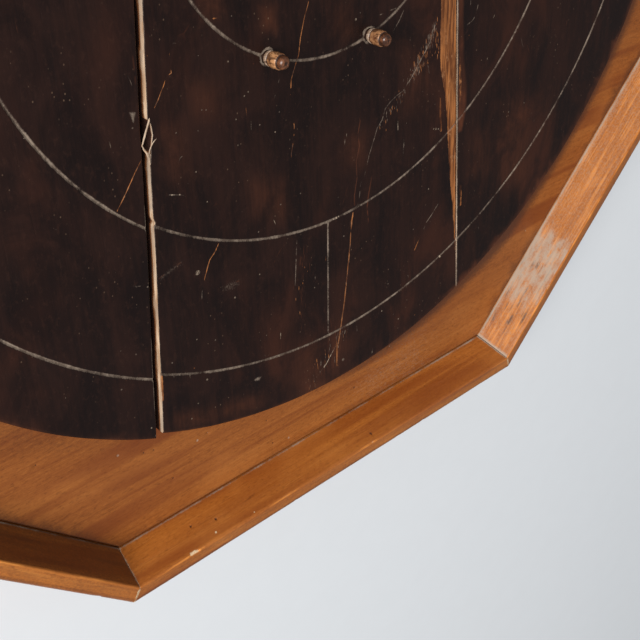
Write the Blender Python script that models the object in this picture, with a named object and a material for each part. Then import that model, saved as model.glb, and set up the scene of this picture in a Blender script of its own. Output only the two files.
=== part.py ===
"""Octagonal crokinole board, lying on its back with the playing surface up.

X runs along the bottom rail to the right, Y runs from the bottom rail to the
top rail, Z points out of the playing surface. The origin is on the ground,
under the centre of the playing surface. Lengths are in metres.
"""
import math

import bmesh
import bpy

for old in list(bpy.data.objects):
    bpy.data.objects.remove(old, do_unlink=True)

# ---------------------------------------------------------------- dimensions
FIT = 0.0003                 # air between two pieces that touch

BATTEN_TOP = 0.0177          # battens stand on the ground
BATTEN_X = 0.205             # centre line of each batten
BATTEN_WIDTH = 0.065
BATTEN_LENGTH = 0.550
BATTEN_SLOPE = 0.008         # bevel at each batten's ends

BASE_BOTTOM = 0.0180
BASE_TOP = 0.0340            # floor of the ditch
BASE_SEAMS = (-0.125, 0.115)
BASE_SEAM_GAP = 0.0006

DISC_BOTTOM = BASE_TOP + FIT
DISC_TOP = 0.0530            # playing surface
DISC_R = 0.3175
DISC_SEGMENTS = 96
DISC_ARRIS = 0.0016          # worn edge of the playing surface
LEFT_SLIP = -0.0033          # the left plank has slid towards the bottom rail

CIRCLES = (0.1044, 0.2024, 0.2807)   # scribed circles, peg circle first
SCRIBE_HALF = 0.0008
SCRIBE_DEPTH = 0.0007
CENTRE_HOLE_R = 0.0175
CENTRE_HOLE_DEPTH = 0.0070

# seams between the planks, as x at y = 0 and the change of x with y
SEAM_LEFT_X, SEAM_LEFT_SLOPE = -0.1086, 0.0858
SEAM_RIGHT_X, SEAM_RIGHT_SLOPE = 0.0943, -0.0581
SEAM_LEFT_OPEN = (-0.0038, 0.0010)   # open seam, each side of its line
SEAM_RIGHT_OPEN = (-0.0004, 0.0004)

# quadrant lines: angle from the bottom rail's middle, counter-clockwise
QUADRANTS = (-1.55, 90.0, 179.2, 270.6)
PEG_ANGLES = (-70.5, -24.7, 15.8, 60.0, 105.5, 151.0, 197.0, 243.0)
PEG_RISE = 0.0148
PEG_R = 0.0041
TENON_R = 0.0032
TENON_LENGTH = 0.0122
PEG_HOLE_R = 0.0036
PEG_HOLE_DEPTH = 0.0130

# octagon: distance of each side's inner foot from the centre
FLAT_BOTTOM = 0.3699
FLAT_DIAGONAL = 0.3762
FLAT_SIDE = 0.3720
BASE_EDGE_GAP = 0.0008       # open joint between the base and the rails
RAIL_FOOT = 0.0211           # thickness of a rail at its foot
RAIL_ARRIS_OUT = 0.0090      # how far the inner face leans outward
RAIL_ARRIS_Z = 0.0604
RAIL_OUTER_Z = 0.0593
RAIL_ROUND = 0.0030
MITRE_GAP = 0.0004

SCREW_HEAD_R = 0.0040
SCREW_R = 0.0020
SCREW_LENGTH = 0.0300
SCREW_SIDES = 10
SCREW_CLEAR = 0.0005
HANGER_SCREW_HEAD_R = 0.0026
HANGER_SCREW_R = 0.0013
HANGER_SCREW_LENGTH = 0.0125
NAIL_R = 0.0012
NAIL_HEAD_R = 0.0023
NAIL_HEAD_T = 0.0010
NAIL_LENGTH = 0.0380
NAIL_SIDES = 8
NAIL_Z = 0.0260
NAIL_SET = 0.0004            # heads sit just below the rail's outer face

PLATE_Y = 0.300
PLATE_WIDTH = 0.016
PLATE_LENGTH = 0.040
PLATE_T = 0.0016
KEYHOLE_R = 0.0045
KEYHOLE_SLOT_R = 0.0023
KEYHOLE_SLOT = 0.0100
PLATE_SCREW_Y = 0.0152


# ------------------------------------------------------------------ materials
def material(name, colour, roughness, metallic=0.0):
    mat = bpy.data.materials.new(name)
    mat.use_nodes = True
    shader = mat.node_tree.nodes["Principled BSDF"]
    shader.inputs["Base Color"].default_value = (*colour, 1.0)
    shader.inputs["Roughness"].default_value = roughness
    shader.inputs["Metallic"].default_value = metallic
    mat.diffuse_color = (*colour, 1.0)
    return mat


# -------------------------------------------------------------------- helpers
def new_object(name, bm, mat=None):
    bmesh.ops.recalc_face_normals(bm, faces=bm.faces)
    mesh = bpy.data.meshes.new(name)
    bm.to_mesh(mesh)
    bm.free()
    obj = bpy.data.objects.new(name, mesh)
    bpy.context.scene.collection.objects.link(obj)
    if mat is not None:
        mesh.materials.append(mat)
    return obj


def smooth(obj, angle=35.0):
    obj.data.shade_smooth()
    obj.data.set_sharp_from_angle(angle=math.radians(angle))


def lathe(bm, profile, segments, centre=(0.0, 0.0), phase=0.0):
    """Closed solid of revolution about Z from (radius, z) points."""
    rings = []
    for radius, z in profile:
        if radius < 1e-9:
            rings.append([bm.verts.new((centre[0], centre[1], z))])
        else:
            rings.append([
                bm.verts.new((
                    centre[0] + radius * math.cos(phase + 2 * math.pi * k / segments),
                    centre[1] + radius * math.sin(phase + 2 * math.pi * k / segments),
                    z))
                for k in range(segments)])
    for low, high in zip(rings, rings[1:]):
        for k in range(segments):
            n = (k + 1) % segments
            if len(low) == 1:
                bm.faces.new((low[0], high[n], high[k]))
            elif len(high) == 1:
                bm.faces.new((low[k], low[n], high[0]))
            else:
                bm.faces.new((low[k], low[n], high[n], high[k]))
    return [v for ring in rings for v in ring]


def prism(bm, outline, z0, z1):
    low = [bm.verts.new((x, y, z0)) for x, y in outline]
    high = [bm.verts.new((x, y, z1)) for x, y in outline]
    bm.faces.new(low[::-1])
    bm.faces.new(high)
    for k in range(len(outline)):
        n = (k + 1) % len(outline)
        bm.faces.new((low[k], low[n], high[n], high[k]))
    return low + high


def box(bm, x0, x1, y0, y1, z0, z1):
    return prism(bm, [(x0, y0), (x1, y0), (x1, y1), (x0, y1)], z0, z1)


def place(verts, matrix_rows, origin):
    """Turn local points with the three given axes, then move them."""
    for v in verts:
        x, y, z = v.co
        v.co = [origin[i] + x * matrix_rows[0][i] + y * matrix_rows[1][i]
                + z * matrix_rows[2][i] for i in range(3)]


def clip(outline, nx, ny, limit):
    """Part of a convex outline where nx*x + ny*y <= limit."""
    kept = []
    for k, (x0, y0) in enumerate(outline):
        x1, y1 = outline[(k + 1) % len(outline)]
        d0 = nx * x0 + ny * y0 - limit
        d1 = nx * x1 + ny * y1 - limit
        if d0 <= 0:
            kept.append((x0, y0))
        if (d0 < 0 < d1) or (d1 < 0 < d0):
            t = d0 / (d0 - d1)
            kept.append((x0 + t * (x1 - x0), y0 + t * (y1 - y0)))
    return kept


def cutter(name, bm):
    obj = new_object(name, bm)
    obj.hide_render = True
    obj.display_type = "WIRE"
    return obj


def boolean(obj, other, operation="DIFFERENCE"):
    mod = obj.modifiers.new(operation.lower(), "BOOLEAN")
    mod.operation = operation
    mod.solver = "EXACT"
    mod.object = other


# ----------------------------------------------------------- octagon geometry
SIDES = ("bottom", "bottom_right", "right", "top_right",
         "top", "top_left", "left", "bottom_left")


def flat_of(side):
    if side in ("bottom", "top"):
        return FLAT_BOTTOM
    if side in ("left", "right"):
        return FLAT_SIDE
    return FLAT_DIAGONAL


def normal_of(index):
    a = math.radians(-90.0 + 45.0 * index)
    return math.cos(a), math.sin(a)


def octagon(offset):
    outline = [(-1, -1), (1, -1), (1, 1), (-1, 1)]
    for index, side in enumerate(SIDES):
        nx, ny = normal_of(index)
        outline = clip(outline, nx, ny, flat_of(side) + offset)
    return outline


def corner(index, offset):
    """Where side index meets the next side, both moved outward by offset."""
    ax, ay = normal_of(index)
    bx, by = normal_of((index + 1) % 8)
    da = flat_of(SIDES[index]) + offset
    db = flat_of(SIDES[(index + 1) % 8]) + offset
    det = ax * by - ay * bx
    return (da * by - db * ay) / det, (ax * db - bx * da) / det


def seam_left(y):
    return SEAM_LEFT_X + SEAM_LEFT_SLOPE * y


def seam_right(y):
    return SEAM_RIGHT_X + SEAM_RIGHT_SLOPE * y


# ------------------------------------------------------------------ fasteners
def screw_profile(z, length, head_r, shank_r, clear=0.0, through=0.0):
    """Countersunk screw pointing up from z; clear makes its hole."""
    cone = head_r - shank_r
    if clear:
        return [(0.0, z - 0.004), (head_r + clear, z - 0.004),
                (head_r + clear, z + 0.0004 + clear * 0.4),
                (shank_r + clear, z + 0.0004 + cone + clear * 0.4),
                (shank_r + clear, z + length + clear + through),
                (0.0, z + length + clear + through)]
    return [(0.0, z), (head_r, z), (head_r, z + 0.0004),
            (shank_r, z + 0.0004 + cone),
            (shank_r, z + length - 2.2 * shank_r),
            (shank_r * 0.15, z + length), (0.0, z + length)]


BATTEN_SCREWS = [(x, y) for x in (-BATTEN_X, BATTEN_X)
                 for y in (-0.250, -0.005, 0.235)]
DISC_SCREWS = [(-0.150, -0.215), (-0.268, -0.010), (-0.150, 0.215),
               (0.0, -0.235), (-0.062, -0.030), (0.062, 0.030), (0.0, 0.235),
               (0.150, -0.215), (0.268, -0.010), (0.150, 0.215)]
HANGER_SCREWS = [(0.0, PLATE_Y - PLATE_SCREW_Y), (0.0, PLATE_Y + PLATE_SCREW_Y)]
SCREW_START_BATTEN = 0.0003
SCREW_START_BASE = BASE_BOTTOM + 0.0003
SCREW_START_PLATE = BASE_BOTTOM + FIT + 0.0001


def screws(name, spots, z, mat, length=SCREW_LENGTH, head_r=SCREW_HEAD_R,
           shank_r=SCREW_R):
    """Slotted screws that share one mesh, head down at height z."""
    bm = bmesh.new()
    lathe(bm, screw_profile(0.0, length, head_r, shank_r), SCREW_SIDES)
    whole = new_object(name + "_whole", bm, mat)
    cut = bmesh.new()
    box(cut, -head_r * 1.3, head_r * 1.3, -head_r * 0.13, head_r * 0.13,
        -0.002, head_r * 0.22)
    slot = cutter("cut_slot", cut)
    boolean(whole, slot)
    bpy.context.view_layer.update()
    ready = whole.evaluated_get(bpy.context.evaluated_depsgraph_get())
    mesh = bpy.data.meshes.new_from_object(ready)
    mesh.name = name
    bpy.data.objects.remove(whole, do_unlink=True)
    bpy.data.objects.remove(slot, do_unlink=True)
    for k, (x, y) in enumerate(spots):
        obj = bpy.data.objects.new("%s_%d" % (name, k + 1), mesh)
        bpy.context.scene.collection.objects.link(obj)
        obj.location = (x, y, z)
        # whole steps of the ten-sided shank, so it stays in line with its hole
        obj.rotation_euler = (0.0, 0.0, math.radians(36.0 * ((3 * k) % 10)))


NAIL_ALONG = (-0.090, 0.090)     # from the middle of each rail


def nail(bm, index, along, clear=0.0):
    """Nail, or its hole, through rail index at a distance along it."""
    nx, ny = normal_of(index)
    tx, ty = -ny, nx
    start = corner((index - 1) % 8, 0.0)
    end = corner(index, 0.0)
    mid_t = ((start[0] + end[0]) * tx + (start[1] + end[1]) * ty) / 2
    out = flat_of(SIDES[index]) + RAIL_FOOT
    if clear:
        profile = [(0.0, -0.004), (NAIL_HEAD_R + clear, -0.004),
                   (NAIL_HEAD_R + clear, NAIL_SET + NAIL_HEAD_T + clear),
                   (NAIL_R + clear, NAIL_SET + NAIL_HEAD_T + clear),
                   (NAIL_R + clear, NAIL_SET + NAIL_LENGTH + clear),
                   (0.0, NAIL_SET + NAIL_LENGTH + clear)]
    else:
        profile = [(0.0, NAIL_SET), (NAIL_HEAD_R, NAIL_SET),
                   (NAIL_HEAD_R, NAIL_SET + NAIL_HEAD_T),
                   (NAIL_R, NAIL_SET + NAIL_HEAD_T),
                   (NAIL_R, NAIL_SET + NAIL_LENGTH - 0.004),
                   (NAIL_R * 0.2, NAIL_SET + NAIL_LENGTH),
                   (0.0, NAIL_SET + NAIL_LENGTH)]
    verts = lathe(bm, profile, NAIL_SIDES)
    along_total = mid_t + along
    place(verts, ((tx, ty, 0), (0, 0, 1), (-nx, -ny, 0)),
          (nx * out + tx * along_total, ny * out + ty * along_total, NAIL_Z))


# --------------------------------------------------------------- base boards
BOARD_COLOURS = ((0.36, 0.150, 0.052), (0.34, 0.140, 0.050),
                 (0.37, 0.155, 0.055))
BOARD_NAMES = ("base_board_bottom", "base_board_middle", "base_board_top")


def build_base():
    limits = (-1.0,) + BASE_SEAMS + (1.0,)
    holes_b = bmesh.new()
    for x, y in BATTEN_SCREWS:
        lathe(holes_b, screw_profile(SCREW_START_BATTEN, SCREW_LENGTH,
                                     SCREW_HEAD_R, SCREW_R, SCREW_CLEAR),
              SCREW_SIDES, (x, y))
    cut_batten = cutter("cut_batten_screw_holes", holes_b)
    holes_d = bmesh.new()
    for x, y in DISC_SCREWS:
        lathe(holes_d, screw_profile(SCREW_START_BASE, SCREW_LENGTH,
                                     SCREW_HEAD_R, SCREW_R, SCREW_CLEAR),
              SCREW_SIDES, (x, y))
    cut_disc = cutter("cut_disc_screw_holes", holes_d)
    holes_n = bmesh.new()
    for index in range(8):
        for along in NAIL_ALONG:
            nail(holes_n, index, along, SCREW_CLEAR)
    cut_nails = cutter("cut_nail_holes", holes_n)
    for k, name in enumerate(BOARD_NAMES):
        outline = octagon(-BASE_EDGE_GAP)
        outline = clip(outline, 0, -1, -(limits[k] + BASE_SEAM_GAP / 2))
        outline = clip(outline, 0, 1, limits[k + 1] - BASE_SEAM_GAP / 2)
        bm = bmesh.new()
        prism(bm, outline, BASE_BOTTOM, BASE_TOP)
        obj = new_object(name, bm, material(name, BOARD_COLOURS[k], 0.5))
        boolean(obj, cut_batten)
        boolean(obj, cut_disc)
        boolean(obj, cut_nails)
    return cut_batten, cut_disc, cut_nails


# ------------------------------------------------------------ playing surface
def disc_profile():
    """Round slab with its scribed circles and the hole at its centre."""
    top = DISC_TOP
    points = [(0.0, DISC_BOTTOM), (DISC_R - 0.0006, DISC_BOTTOM),
              (DISC_R, DISC_BOTTOM + 0.0006), (DISC_R, top - DISC_ARRIS)]
    for step in (1, 2):
        a = math.radians(45.0 * step)
        points.append((DISC_R - DISC_ARRIS + DISC_ARRIS * math.cos(a),
                       top - DISC_ARRIS + DISC_ARRIS * math.sin(a)))
    for radius in sorted(CIRCLES, reverse=True):
        points += [(radius + SCRIBE_HALF, top),
                   (radius, top - SCRIBE_DEPTH),
                   (radius - SCRIBE_HALF, top)]
    points += [(CENTRE_HOLE_R + 0.0008, top), (CENTRE_HOLE_R, top - 0.0008),
               (CENTRE_HOLE_R, top - CENTRE_HOLE_DEPTH),
               (0.0, top - CENTRE_HOLE_DEPTH)]
    return points


def quadrant_cutter():
    """V grooves from the middle circle to the outer circle."""
    bm = bmesh.new()
    rise = 0.0010
    half = SCRIBE_HALF * (SCRIBE_DEPTH + rise) / SCRIBE_DEPTH
    r0, r1 = CIRCLES[1], CIRCLES[2]
    for angle in QUADRANTS:
        a = math.radians(angle - 90.0)
        c, s = math.cos(a), math.sin(a)
        section = ((-half, rise), (0.0, -SCRIBE_DEPTH * 0.96), (half, rise))
        ends = []
        for r in (r0, r1):
            ends.append([bm.verts.new((r * c - w * s, r * s + w * c,
                                       DISC_TOP + h)) for w, h in section])
        bm.faces.new(ends[0][::-1])
        bm.faces.new(ends[1])
        for k in range(3):
            n = (k + 1) % 3
            bm.faces.new((ends[0][k], ends[0][n], ends[1][n], ends[1][k]))
    return cutter("cut_quadrant_lines", bm)


def peg_xy(angle):
    a = math.radians(angle)
    return CIRCLES[0] * math.sin(a), -CIRCLES[0] * math.cos(a)


def build_planks(cut_disc):
    cut_lines = quadrant_cutter()
    holes = bmesh.new()
    for angle in PEG_ANGLES:
        z0 = DISC_TOP - PEG_HOLE_DEPTH
        lathe(holes, [(0.0, z0), (PEG_HOLE_R, z0),
                      (PEG_HOLE_R, DISC_TOP + 0.002), (0.0, DISC_TOP + 0.002)],
              12, peg_xy(angle))
    cut_pegs = cutter("cut_peg_holes", holes)
    far = 0.40
    shapes = {
        "left": [(-far, -far),
                 (seam_left(-far) + SEAM_LEFT_OPEN[0], -far),
                 (seam_left(far) + SEAM_LEFT_OPEN[0], far), (-far, far)],
        "centre": [(seam_left(-far) + SEAM_LEFT_OPEN[1], -far),
                   (seam_right(-far) + SEAM_RIGHT_OPEN[0], -far),
                   (seam_right(far) + SEAM_RIGHT_OPEN[0], far),
                   (seam_left(far) + SEAM_LEFT_OPEN[1], far)],
        "right": [(seam_right(-far) + SEAM_RIGHT_OPEN[1], -far), (far, -far),
                  (far, far), (seam_right(far) + SEAM_RIGHT_OPEN[1], far)],
    }
    colours = {"left": (0.014, 0.0085, 0.0065), "centre": (0.016, 0.0095, 0.007),
               "right": (0.015, 0.009, 0.007)}
    for side, outline in shapes.items():
        bm = bmesh.new()
        slip = LEFT_SLIP if side == "left" else 0.0
        lathe(bm, disc_profile(), DISC_SEGMENTS, (0.0, slip),
              math.pi / DISC_SEGMENTS)
        name = "playing_plank_" + side
        obj = new_object(name, bm, material(name, colours[side], 0.4))
        edge = bmesh.new()
        prism(edge, outline, 0.0, 0.1)
        boolean(obj, cutter("cut_plank_" + side, edge), "INTERSECT")
        boolean(obj, cut_disc)
        boolean(obj, cut_lines)
        boolean(obj, cut_pegs)


# ----------------------------------------------------------------------- pegs
def build_pegs():
    z = DISC_TOP + FIT
    tall = PEG_RISE
    bottom = z - FIT - TENON_LENGTH
    profile = [(0.0, bottom), (TENON_R - 0.0006, bottom),
               (TENON_R, bottom + 0.0008), (TENON_R, z),
               (PEG_R * 0.90, z), (PEG_R * 1.00, z + tall * 0.10),
               (PEG_R * 1.02, z + tall * 0.26), (PEG_R * 0.80, z + tall * 0.31),
               (PEG_R * 0.80, z + tall * 0.36), (PEG_R * 1.06, z + tall * 0.42),
               (PEG_R * 1.10, z + tall * 0.62), (PEG_R * 0.98, z + tall * 0.80),
               (PEG_R * 0.62, z + tall * 0.94), (0.0, z + tall)]
    wood = material("peg", (0.42, 0.17, 0.055), 0.35)
    bm = bmesh.new()
    lathe(bm, profile, 14)
    first = new_object("peg_1", bm, wood)
    smooth(first, 50.0)
    for k, angle in enumerate(PEG_ANGLES):
        obj = first if k == 0 else bpy.data.objects.new(
            "peg_%d" % (k + 1), first.data)
        if k:
            bpy.context.scene.collection.objects.link(obj)
        x, y = peg_xy(angle)
        obj.location = (x, y, 0.0)
        obj.rotation_euler = (0.0, 0.0, math.radians(angle * 1.7))


# ---------------------------------------------------------------------- rails
def rail_section():
    """(offset outward from the inner foot, z), round the section."""
    out = RAIL_FOOT
    points = [(0.0, BASE_BOTTOM), (0.0, BASE_TOP)]
    lean = math.atan2(RAIL_ARRIS_OUT, RAIL_ARRIS_Z - BASE_TOP)
    r = 0.0009
    ax, az = RAIL_ARRIS_OUT, RAIL_ARRIS_Z
    points += [(ax - r * math.sin(lean), az - r * math.cos(lean)),
               (ax + r * 0.25, az - r * 0.12), (ax + r * 1.3, az)]
    R = RAIL_ROUND
    for step in range(4):
        a = math.radians(90.0 - 30.0 * step)
        points.append((out - R + R * math.cos(a),
                       RAIL_OUTER_Z - R + R * math.sin(a)))
    points += [(out, BASE_BOTTOM + 0.0012), (out - 0.0012, BASE_BOTTOM)]
    return points


def build_rails(cut_nails):
    section = rail_section()
    for index, side in enumerate(SIDES):
        nx, ny = normal_of(index)
        tx, ty = -ny, nx
        bm = bmesh.new()
        ends = []
        for which, sign in (((index - 1) % 8, 1.0), (index, -1.0)):
            ring = []
            for offset, z in section:
                cx, cy = corner(which, offset)
                along = cx * tx + cy * ty + sign * MITRE_GAP / 2 / math.cos(
                    math.radians(22.5))
                a = flat_of(side) + offset
                ring.append(bm.verts.new((nx * a + tx * along,
                                          ny * a + ty * along, z)))
            ends.append(ring)
        bm.faces.new(ends[0])
        bm.faces.new(ends[1][::-1])
        for k in range(len(section)):
            n = (k + 1) % len(section)
            bm.faces.new((ends[0][k], ends[1][k], ends[1][n], ends[0][n]))
        name = "rail_" + side
        obj = new_object(name, bm, material(name, (0.40, 0.165, 0.052), 0.38))
        boolean(obj, cut_nails)


# -------------------------------------------------------------------- battens
def plate_outline(clear):
    """Straight plate with rounded ends, centred on the origin."""
    r = PLATE_WIDTH / 2 + clear
    half = PLATE_LENGTH / 2 - PLATE_WIDTH / 2
    points = []
    for sign in (1, -1):
        for k in range(7):
            a = math.radians(30.0 * k + (0.0 if sign > 0 else 180.0))
            points.append((r * math.cos(a), sign * half + r * math.sin(a)))
    return points


def keyhole_outline():
    """Round hole with a narrower slot above it for a wall screw."""
    start = math.degrees(math.asin(KEYHOLE_SLOT_R / KEYHOLE_R))
    points = []
    steps = 12
    for k in range(steps + 1):
        a = math.radians(90.0 + start + (360.0 - 2 * start) * k / steps)
        points.append((KEYHOLE_R * math.cos(a),
                       -0.003 + KEYHOLE_R * math.sin(a)))
    for k in range(7):
        a = math.radians(30.0 * k)
        points.append((KEYHOLE_SLOT_R * math.cos(a),
                       -0.003 + KEYHOLE_SLOT + KEYHOLE_SLOT_R * math.sin(a)))
    return points


def build_battens(cut_batten):
    half = BATTEN_LENGTH / 2
    side_view = [(-half + BATTEN_SLOPE, 0.0), (half - BATTEN_SLOPE, 0.0),
                 (half, BATTEN_SLOPE), (half, BATTEN_TOP),
                 (-half, BATTEN_TOP), (-half, BATTEN_SLOPE)]
    for side, x in (("left", -BATTEN_X), ("right", BATTEN_X)):
        bm = bmesh.new()
        low = [bm.verts.new((x - BATTEN_WIDTH / 2, y, z)) for y, z in side_view]
        high = [bm.verts.new((x + BATTEN_WIDTH / 2, y, z)) for y, z in side_view]
        bm.faces.new(low)
        bm.faces.new(high[::-1])
        for k in range(len(low)):
            n = (k + 1) % len(low)
            bm.faces.new((low[k], high[k], high[n], low[n]))
        name = "batten_" + side
        obj = new_object(name, bm, material(name, (0.33, 0.145, 0.055), 0.6))
        boolean(obj, cut_batten)


def build_hanger():
    """Keyhole plate let into the back of the top board, over its pocket."""
    board = bpy.data.objects["base_board_top"]
    back = BASE_BOTTOM
    cut = bmesh.new()
    prism(cut, [(px, PLATE_Y + py) for px, py in plate_outline(FIT)],
          back - 0.003, back + PLATE_T + 2 * FIT)
    boolean(board, cutter("cut_plate_seat", cut))
    cut = bmesh.new()
    box(cut, -0.0062, 0.0062, PLATE_Y - 0.0095, PLATE_Y + 0.0110,
        back + 0.0010, back + 0.0110)
    boolean(board, cutter("cut_hanger_pocket", cut))
    cut = bmesh.new()
    for x, y in HANGER_SCREWS:
        lathe(cut, screw_profile(SCREW_START_PLATE, HANGER_SCREW_LENGTH,
                                 HANGER_SCREW_HEAD_R, HANGER_SCREW_R, 0.00045),
              SCREW_SIDES, (x, y))
    cut_small = cutter("cut_hanger_screws", cut)
    boolean(board, cut_small)

    bm = bmesh.new()
    prism(bm, [(px, PLATE_Y + py) for px, py in plate_outline(0.0)],
          back + FIT, back + FIT + PLATE_T)
    plate = new_object("hanger_plate", bm,
                       material("hanger_plate", (0.55, 0.44, 0.24), 0.35, 0.9))
    cut = bmesh.new()
    prism(cut, [(px, PLATE_Y + py) for px, py in keyhole_outline()],
          back - 0.003, back + 0.006)
    boolean(plate, cutter("cut_keyhole", cut))
    boolean(plate, cut_small)


# ---------------------------------------------------------------------- build
batten_holes, disc_holes, nail_holes = build_base()
build_planks(disc_holes)
build_pegs()
build_rails(nail_holes)
build_battens(batten_holes)
build_hanger()

steel = material("steel", (0.30, 0.28, 0.26), 0.45, 0.9)
brass = material("brass", (0.55, 0.44, 0.24), 0.35, 0.9)
iron = material("nail_iron", (0.10, 0.085, 0.08), 0.6, 0.8)
screws("batten_screw", BATTEN_SCREWS, SCREW_START_BATTEN, steel)
screws("disc_screw", DISC_SCREWS, SCREW_START_BASE, steel)
screws("hanger_screw", HANGER_SCREWS, SCREW_START_PLATE, brass,
       HANGER_SCREW_LENGTH, HANGER_SCREW_HEAD_R, HANGER_SCREW_R)
for rail_index, rail_side in enumerate(SIDES):
    for number, distance in enumerate(NAIL_ALONG):
        shape = bmesh.new()
        nail(shape, rail_index, distance)
        new_object("rail_nail_%s_%d" % (rail_side, number + 1), shape, iron)
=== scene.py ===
import math
import random

import bmesh
import bpy
import numpy as np
from mathutils import Matrix, Vector
from mathutils.geometry import delaunay_2d_cdt


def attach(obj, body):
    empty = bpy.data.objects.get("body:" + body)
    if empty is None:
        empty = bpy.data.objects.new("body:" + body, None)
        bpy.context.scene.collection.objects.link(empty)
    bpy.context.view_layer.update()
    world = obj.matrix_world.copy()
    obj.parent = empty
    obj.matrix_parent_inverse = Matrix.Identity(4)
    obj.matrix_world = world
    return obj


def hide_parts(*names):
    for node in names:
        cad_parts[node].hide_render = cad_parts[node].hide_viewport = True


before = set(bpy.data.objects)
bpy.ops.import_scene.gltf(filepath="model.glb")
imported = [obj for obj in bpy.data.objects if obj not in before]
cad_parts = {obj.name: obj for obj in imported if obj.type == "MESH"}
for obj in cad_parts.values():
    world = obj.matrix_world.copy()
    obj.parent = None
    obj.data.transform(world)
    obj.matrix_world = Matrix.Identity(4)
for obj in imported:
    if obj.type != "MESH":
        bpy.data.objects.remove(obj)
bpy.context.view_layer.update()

# Octagonal crokinole board lying on its back, playing surface up. X runs
# along the bottom rail, Y towards the top rail, Z out of the playing surface.
# Points are made in millimetres and written to the meshes in metres.

# ---------------------------------------------------------------- the camera
SIDE_PX = 640.0
FOCAL_PX = 1062.397
EYE = np.array((-0.3707, 0.08493, 0.46072))
AXIS = np.array((0.55241, -0.54423, -0.6314))
RIGHT = np.array((0.74071, -0.02696, 0.67128))
DOWN = np.array((-0.38235, -0.8385, 0.38822))


def seen(px, py, z=53.0):
    """Board millimetres (x, y) of a picture point on the level z."""
    d = ((px - SIDE_PX / 2) / FOCAL_PX * RIGHT
         + (py - SIDE_PX / 2) / FOCAL_PX * DOWN + AXIS)
    p = EYE + d * ((z / 1000.0 - EYE[2]) / d[2])
    return p[0] * 1000.0, p[1] * 1000.0


def seen_line(points, z=53.0):
    return [seen(px, py, z) for px, py in points]


# ------------------------------------------------------------- board measures
DISC_R = 317.5
DISC_TOP = 53.0
DISC_BOTTOM = 34.3
CIRCLES = (104.4, 202.4, 280.7)
PEG_ANGLES = (-70.5, -24.7, 15.8, 60.0, 105.5, 151.0, 197.0, 243.0)
QUADRANTS = (-1.55, 90.0, 179.2, 270.6)
LEFT_SLIP = -3.3
CENTRE_HOLE_R = 17.5
CENTRE_HOLE_DEPTH = 7.0
PEG_HOLE_R = 3.6
PEG_HOLE_DEPTH = 13.0
BASE_BOTTOM, BASE_TOP = 18.0, 34.0
BASE_SEAMS = (-125.0, 115.0)
BATTEN_X, BATTEN_W, BATTEN_L, BATTEN_SLOPE, BATTEN_TOP = 205.0, 65.0, 550.0, 8.0, 17.7
SIDES = ("bottom", "bottom_right", "right", "top_right",
         "top", "top_left", "left", "bottom_left")
FLATS = {"bottom": 369.9, "top": 369.9, "left": 372.0, "right": 372.0}
BATTEN_SCREWS = [(x, y) for x in (-205.0, 205.0) for y in (-250.0, -5.0, 235.0)]
DISC_SCREWS = [(-150, -215), (-268, -10), (-150, 215), (0, -235), (-62, -30),
               (62, 30), (0, 235), (150, -215), (268, -10), (150, 215)]
PLATE_Y = 300.0
HANGER_SCREWS = [(0.0, PLATE_Y - 15.2), (0.0, PLATE_Y + 15.2)]
NAIL_ALONG = (-90.0, 90.0)
NAIL_Z = 26.0


def flat_of(index):
    return FLATS.get(SIDES[index], 376.2)


def normal_of(index):
    a = math.radians(-90.0 + 45.0 * index)
    return math.cos(a), math.sin(a)


def corner(index, offset, next_offset=None):
    """Where side index meets the next one, both moved outward."""
    ax, ay = normal_of(index)
    bx, by = normal_of((index + 1) % 8)
    da = flat_of(index) + offset
    db = flat_of((index + 1) % 8) + (offset if next_offset is None else next_offset)
    det = ax * by - ay * bx
    return (da * by - db * ay) / det, (ax * db - bx * da) / det


def peg_xy(index):
    a = math.radians(PEG_ANGLES[index])
    return CIRCLES[0] * math.sin(a), -CIRCLES[0] * math.cos(a)


# ------------------------------------------------------------- smooth noise
def hashed(ix, iy, seed):
    h = (ix * 374761393 + iy * 668265263 + seed * 974711) & 0xffffffff
    h = ((h ^ (h >> 13)) * 1274126177) & 0xffffffff
    return ((h ^ (h >> 16)) & 0xffff) / 32767.5 - 1.0


def noise(x, y, seed=0):
    """Smooth noise from -1 to 1 over arrays of positions."""
    x = np.asarray(x, float)
    y = np.asarray(y, float)
    x, y = np.broadcast_arrays(x, y)
    ix, iy = np.floor(x).astype(np.int64), np.floor(y).astype(np.int64)
    fx, fy = x - ix, y - iy
    fx = fx * fx * (3 - 2 * fx)
    fy = fy * fy * (3 - 2 * fy)
    a = hashed(ix, iy, seed) * (1 - fx) + hashed(ix + 1, iy, seed) * fx
    b = hashed(ix, iy + 1, seed) * (1 - fx) + hashed(ix + 1, iy + 1, seed) * fx
    return a * (1 - fy) + b * fy


def rough_noise(x, y, seed=0, octaves=3):
    total, size = 0.0, 1.0
    for k in range(octaves):
        total = total + size * noise(np.asarray(x) * 2 ** k, np.asarray(y) * 2 ** k, seed + 17 * k)
        size *= 0.5
    return total / 1.75


def step(value, lo, hi):
    t = np.clip((np.asarray(value, float) - lo) / (hi - lo), 0.0, 1.0)
    return t * t * (3 - 2 * t)


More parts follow.
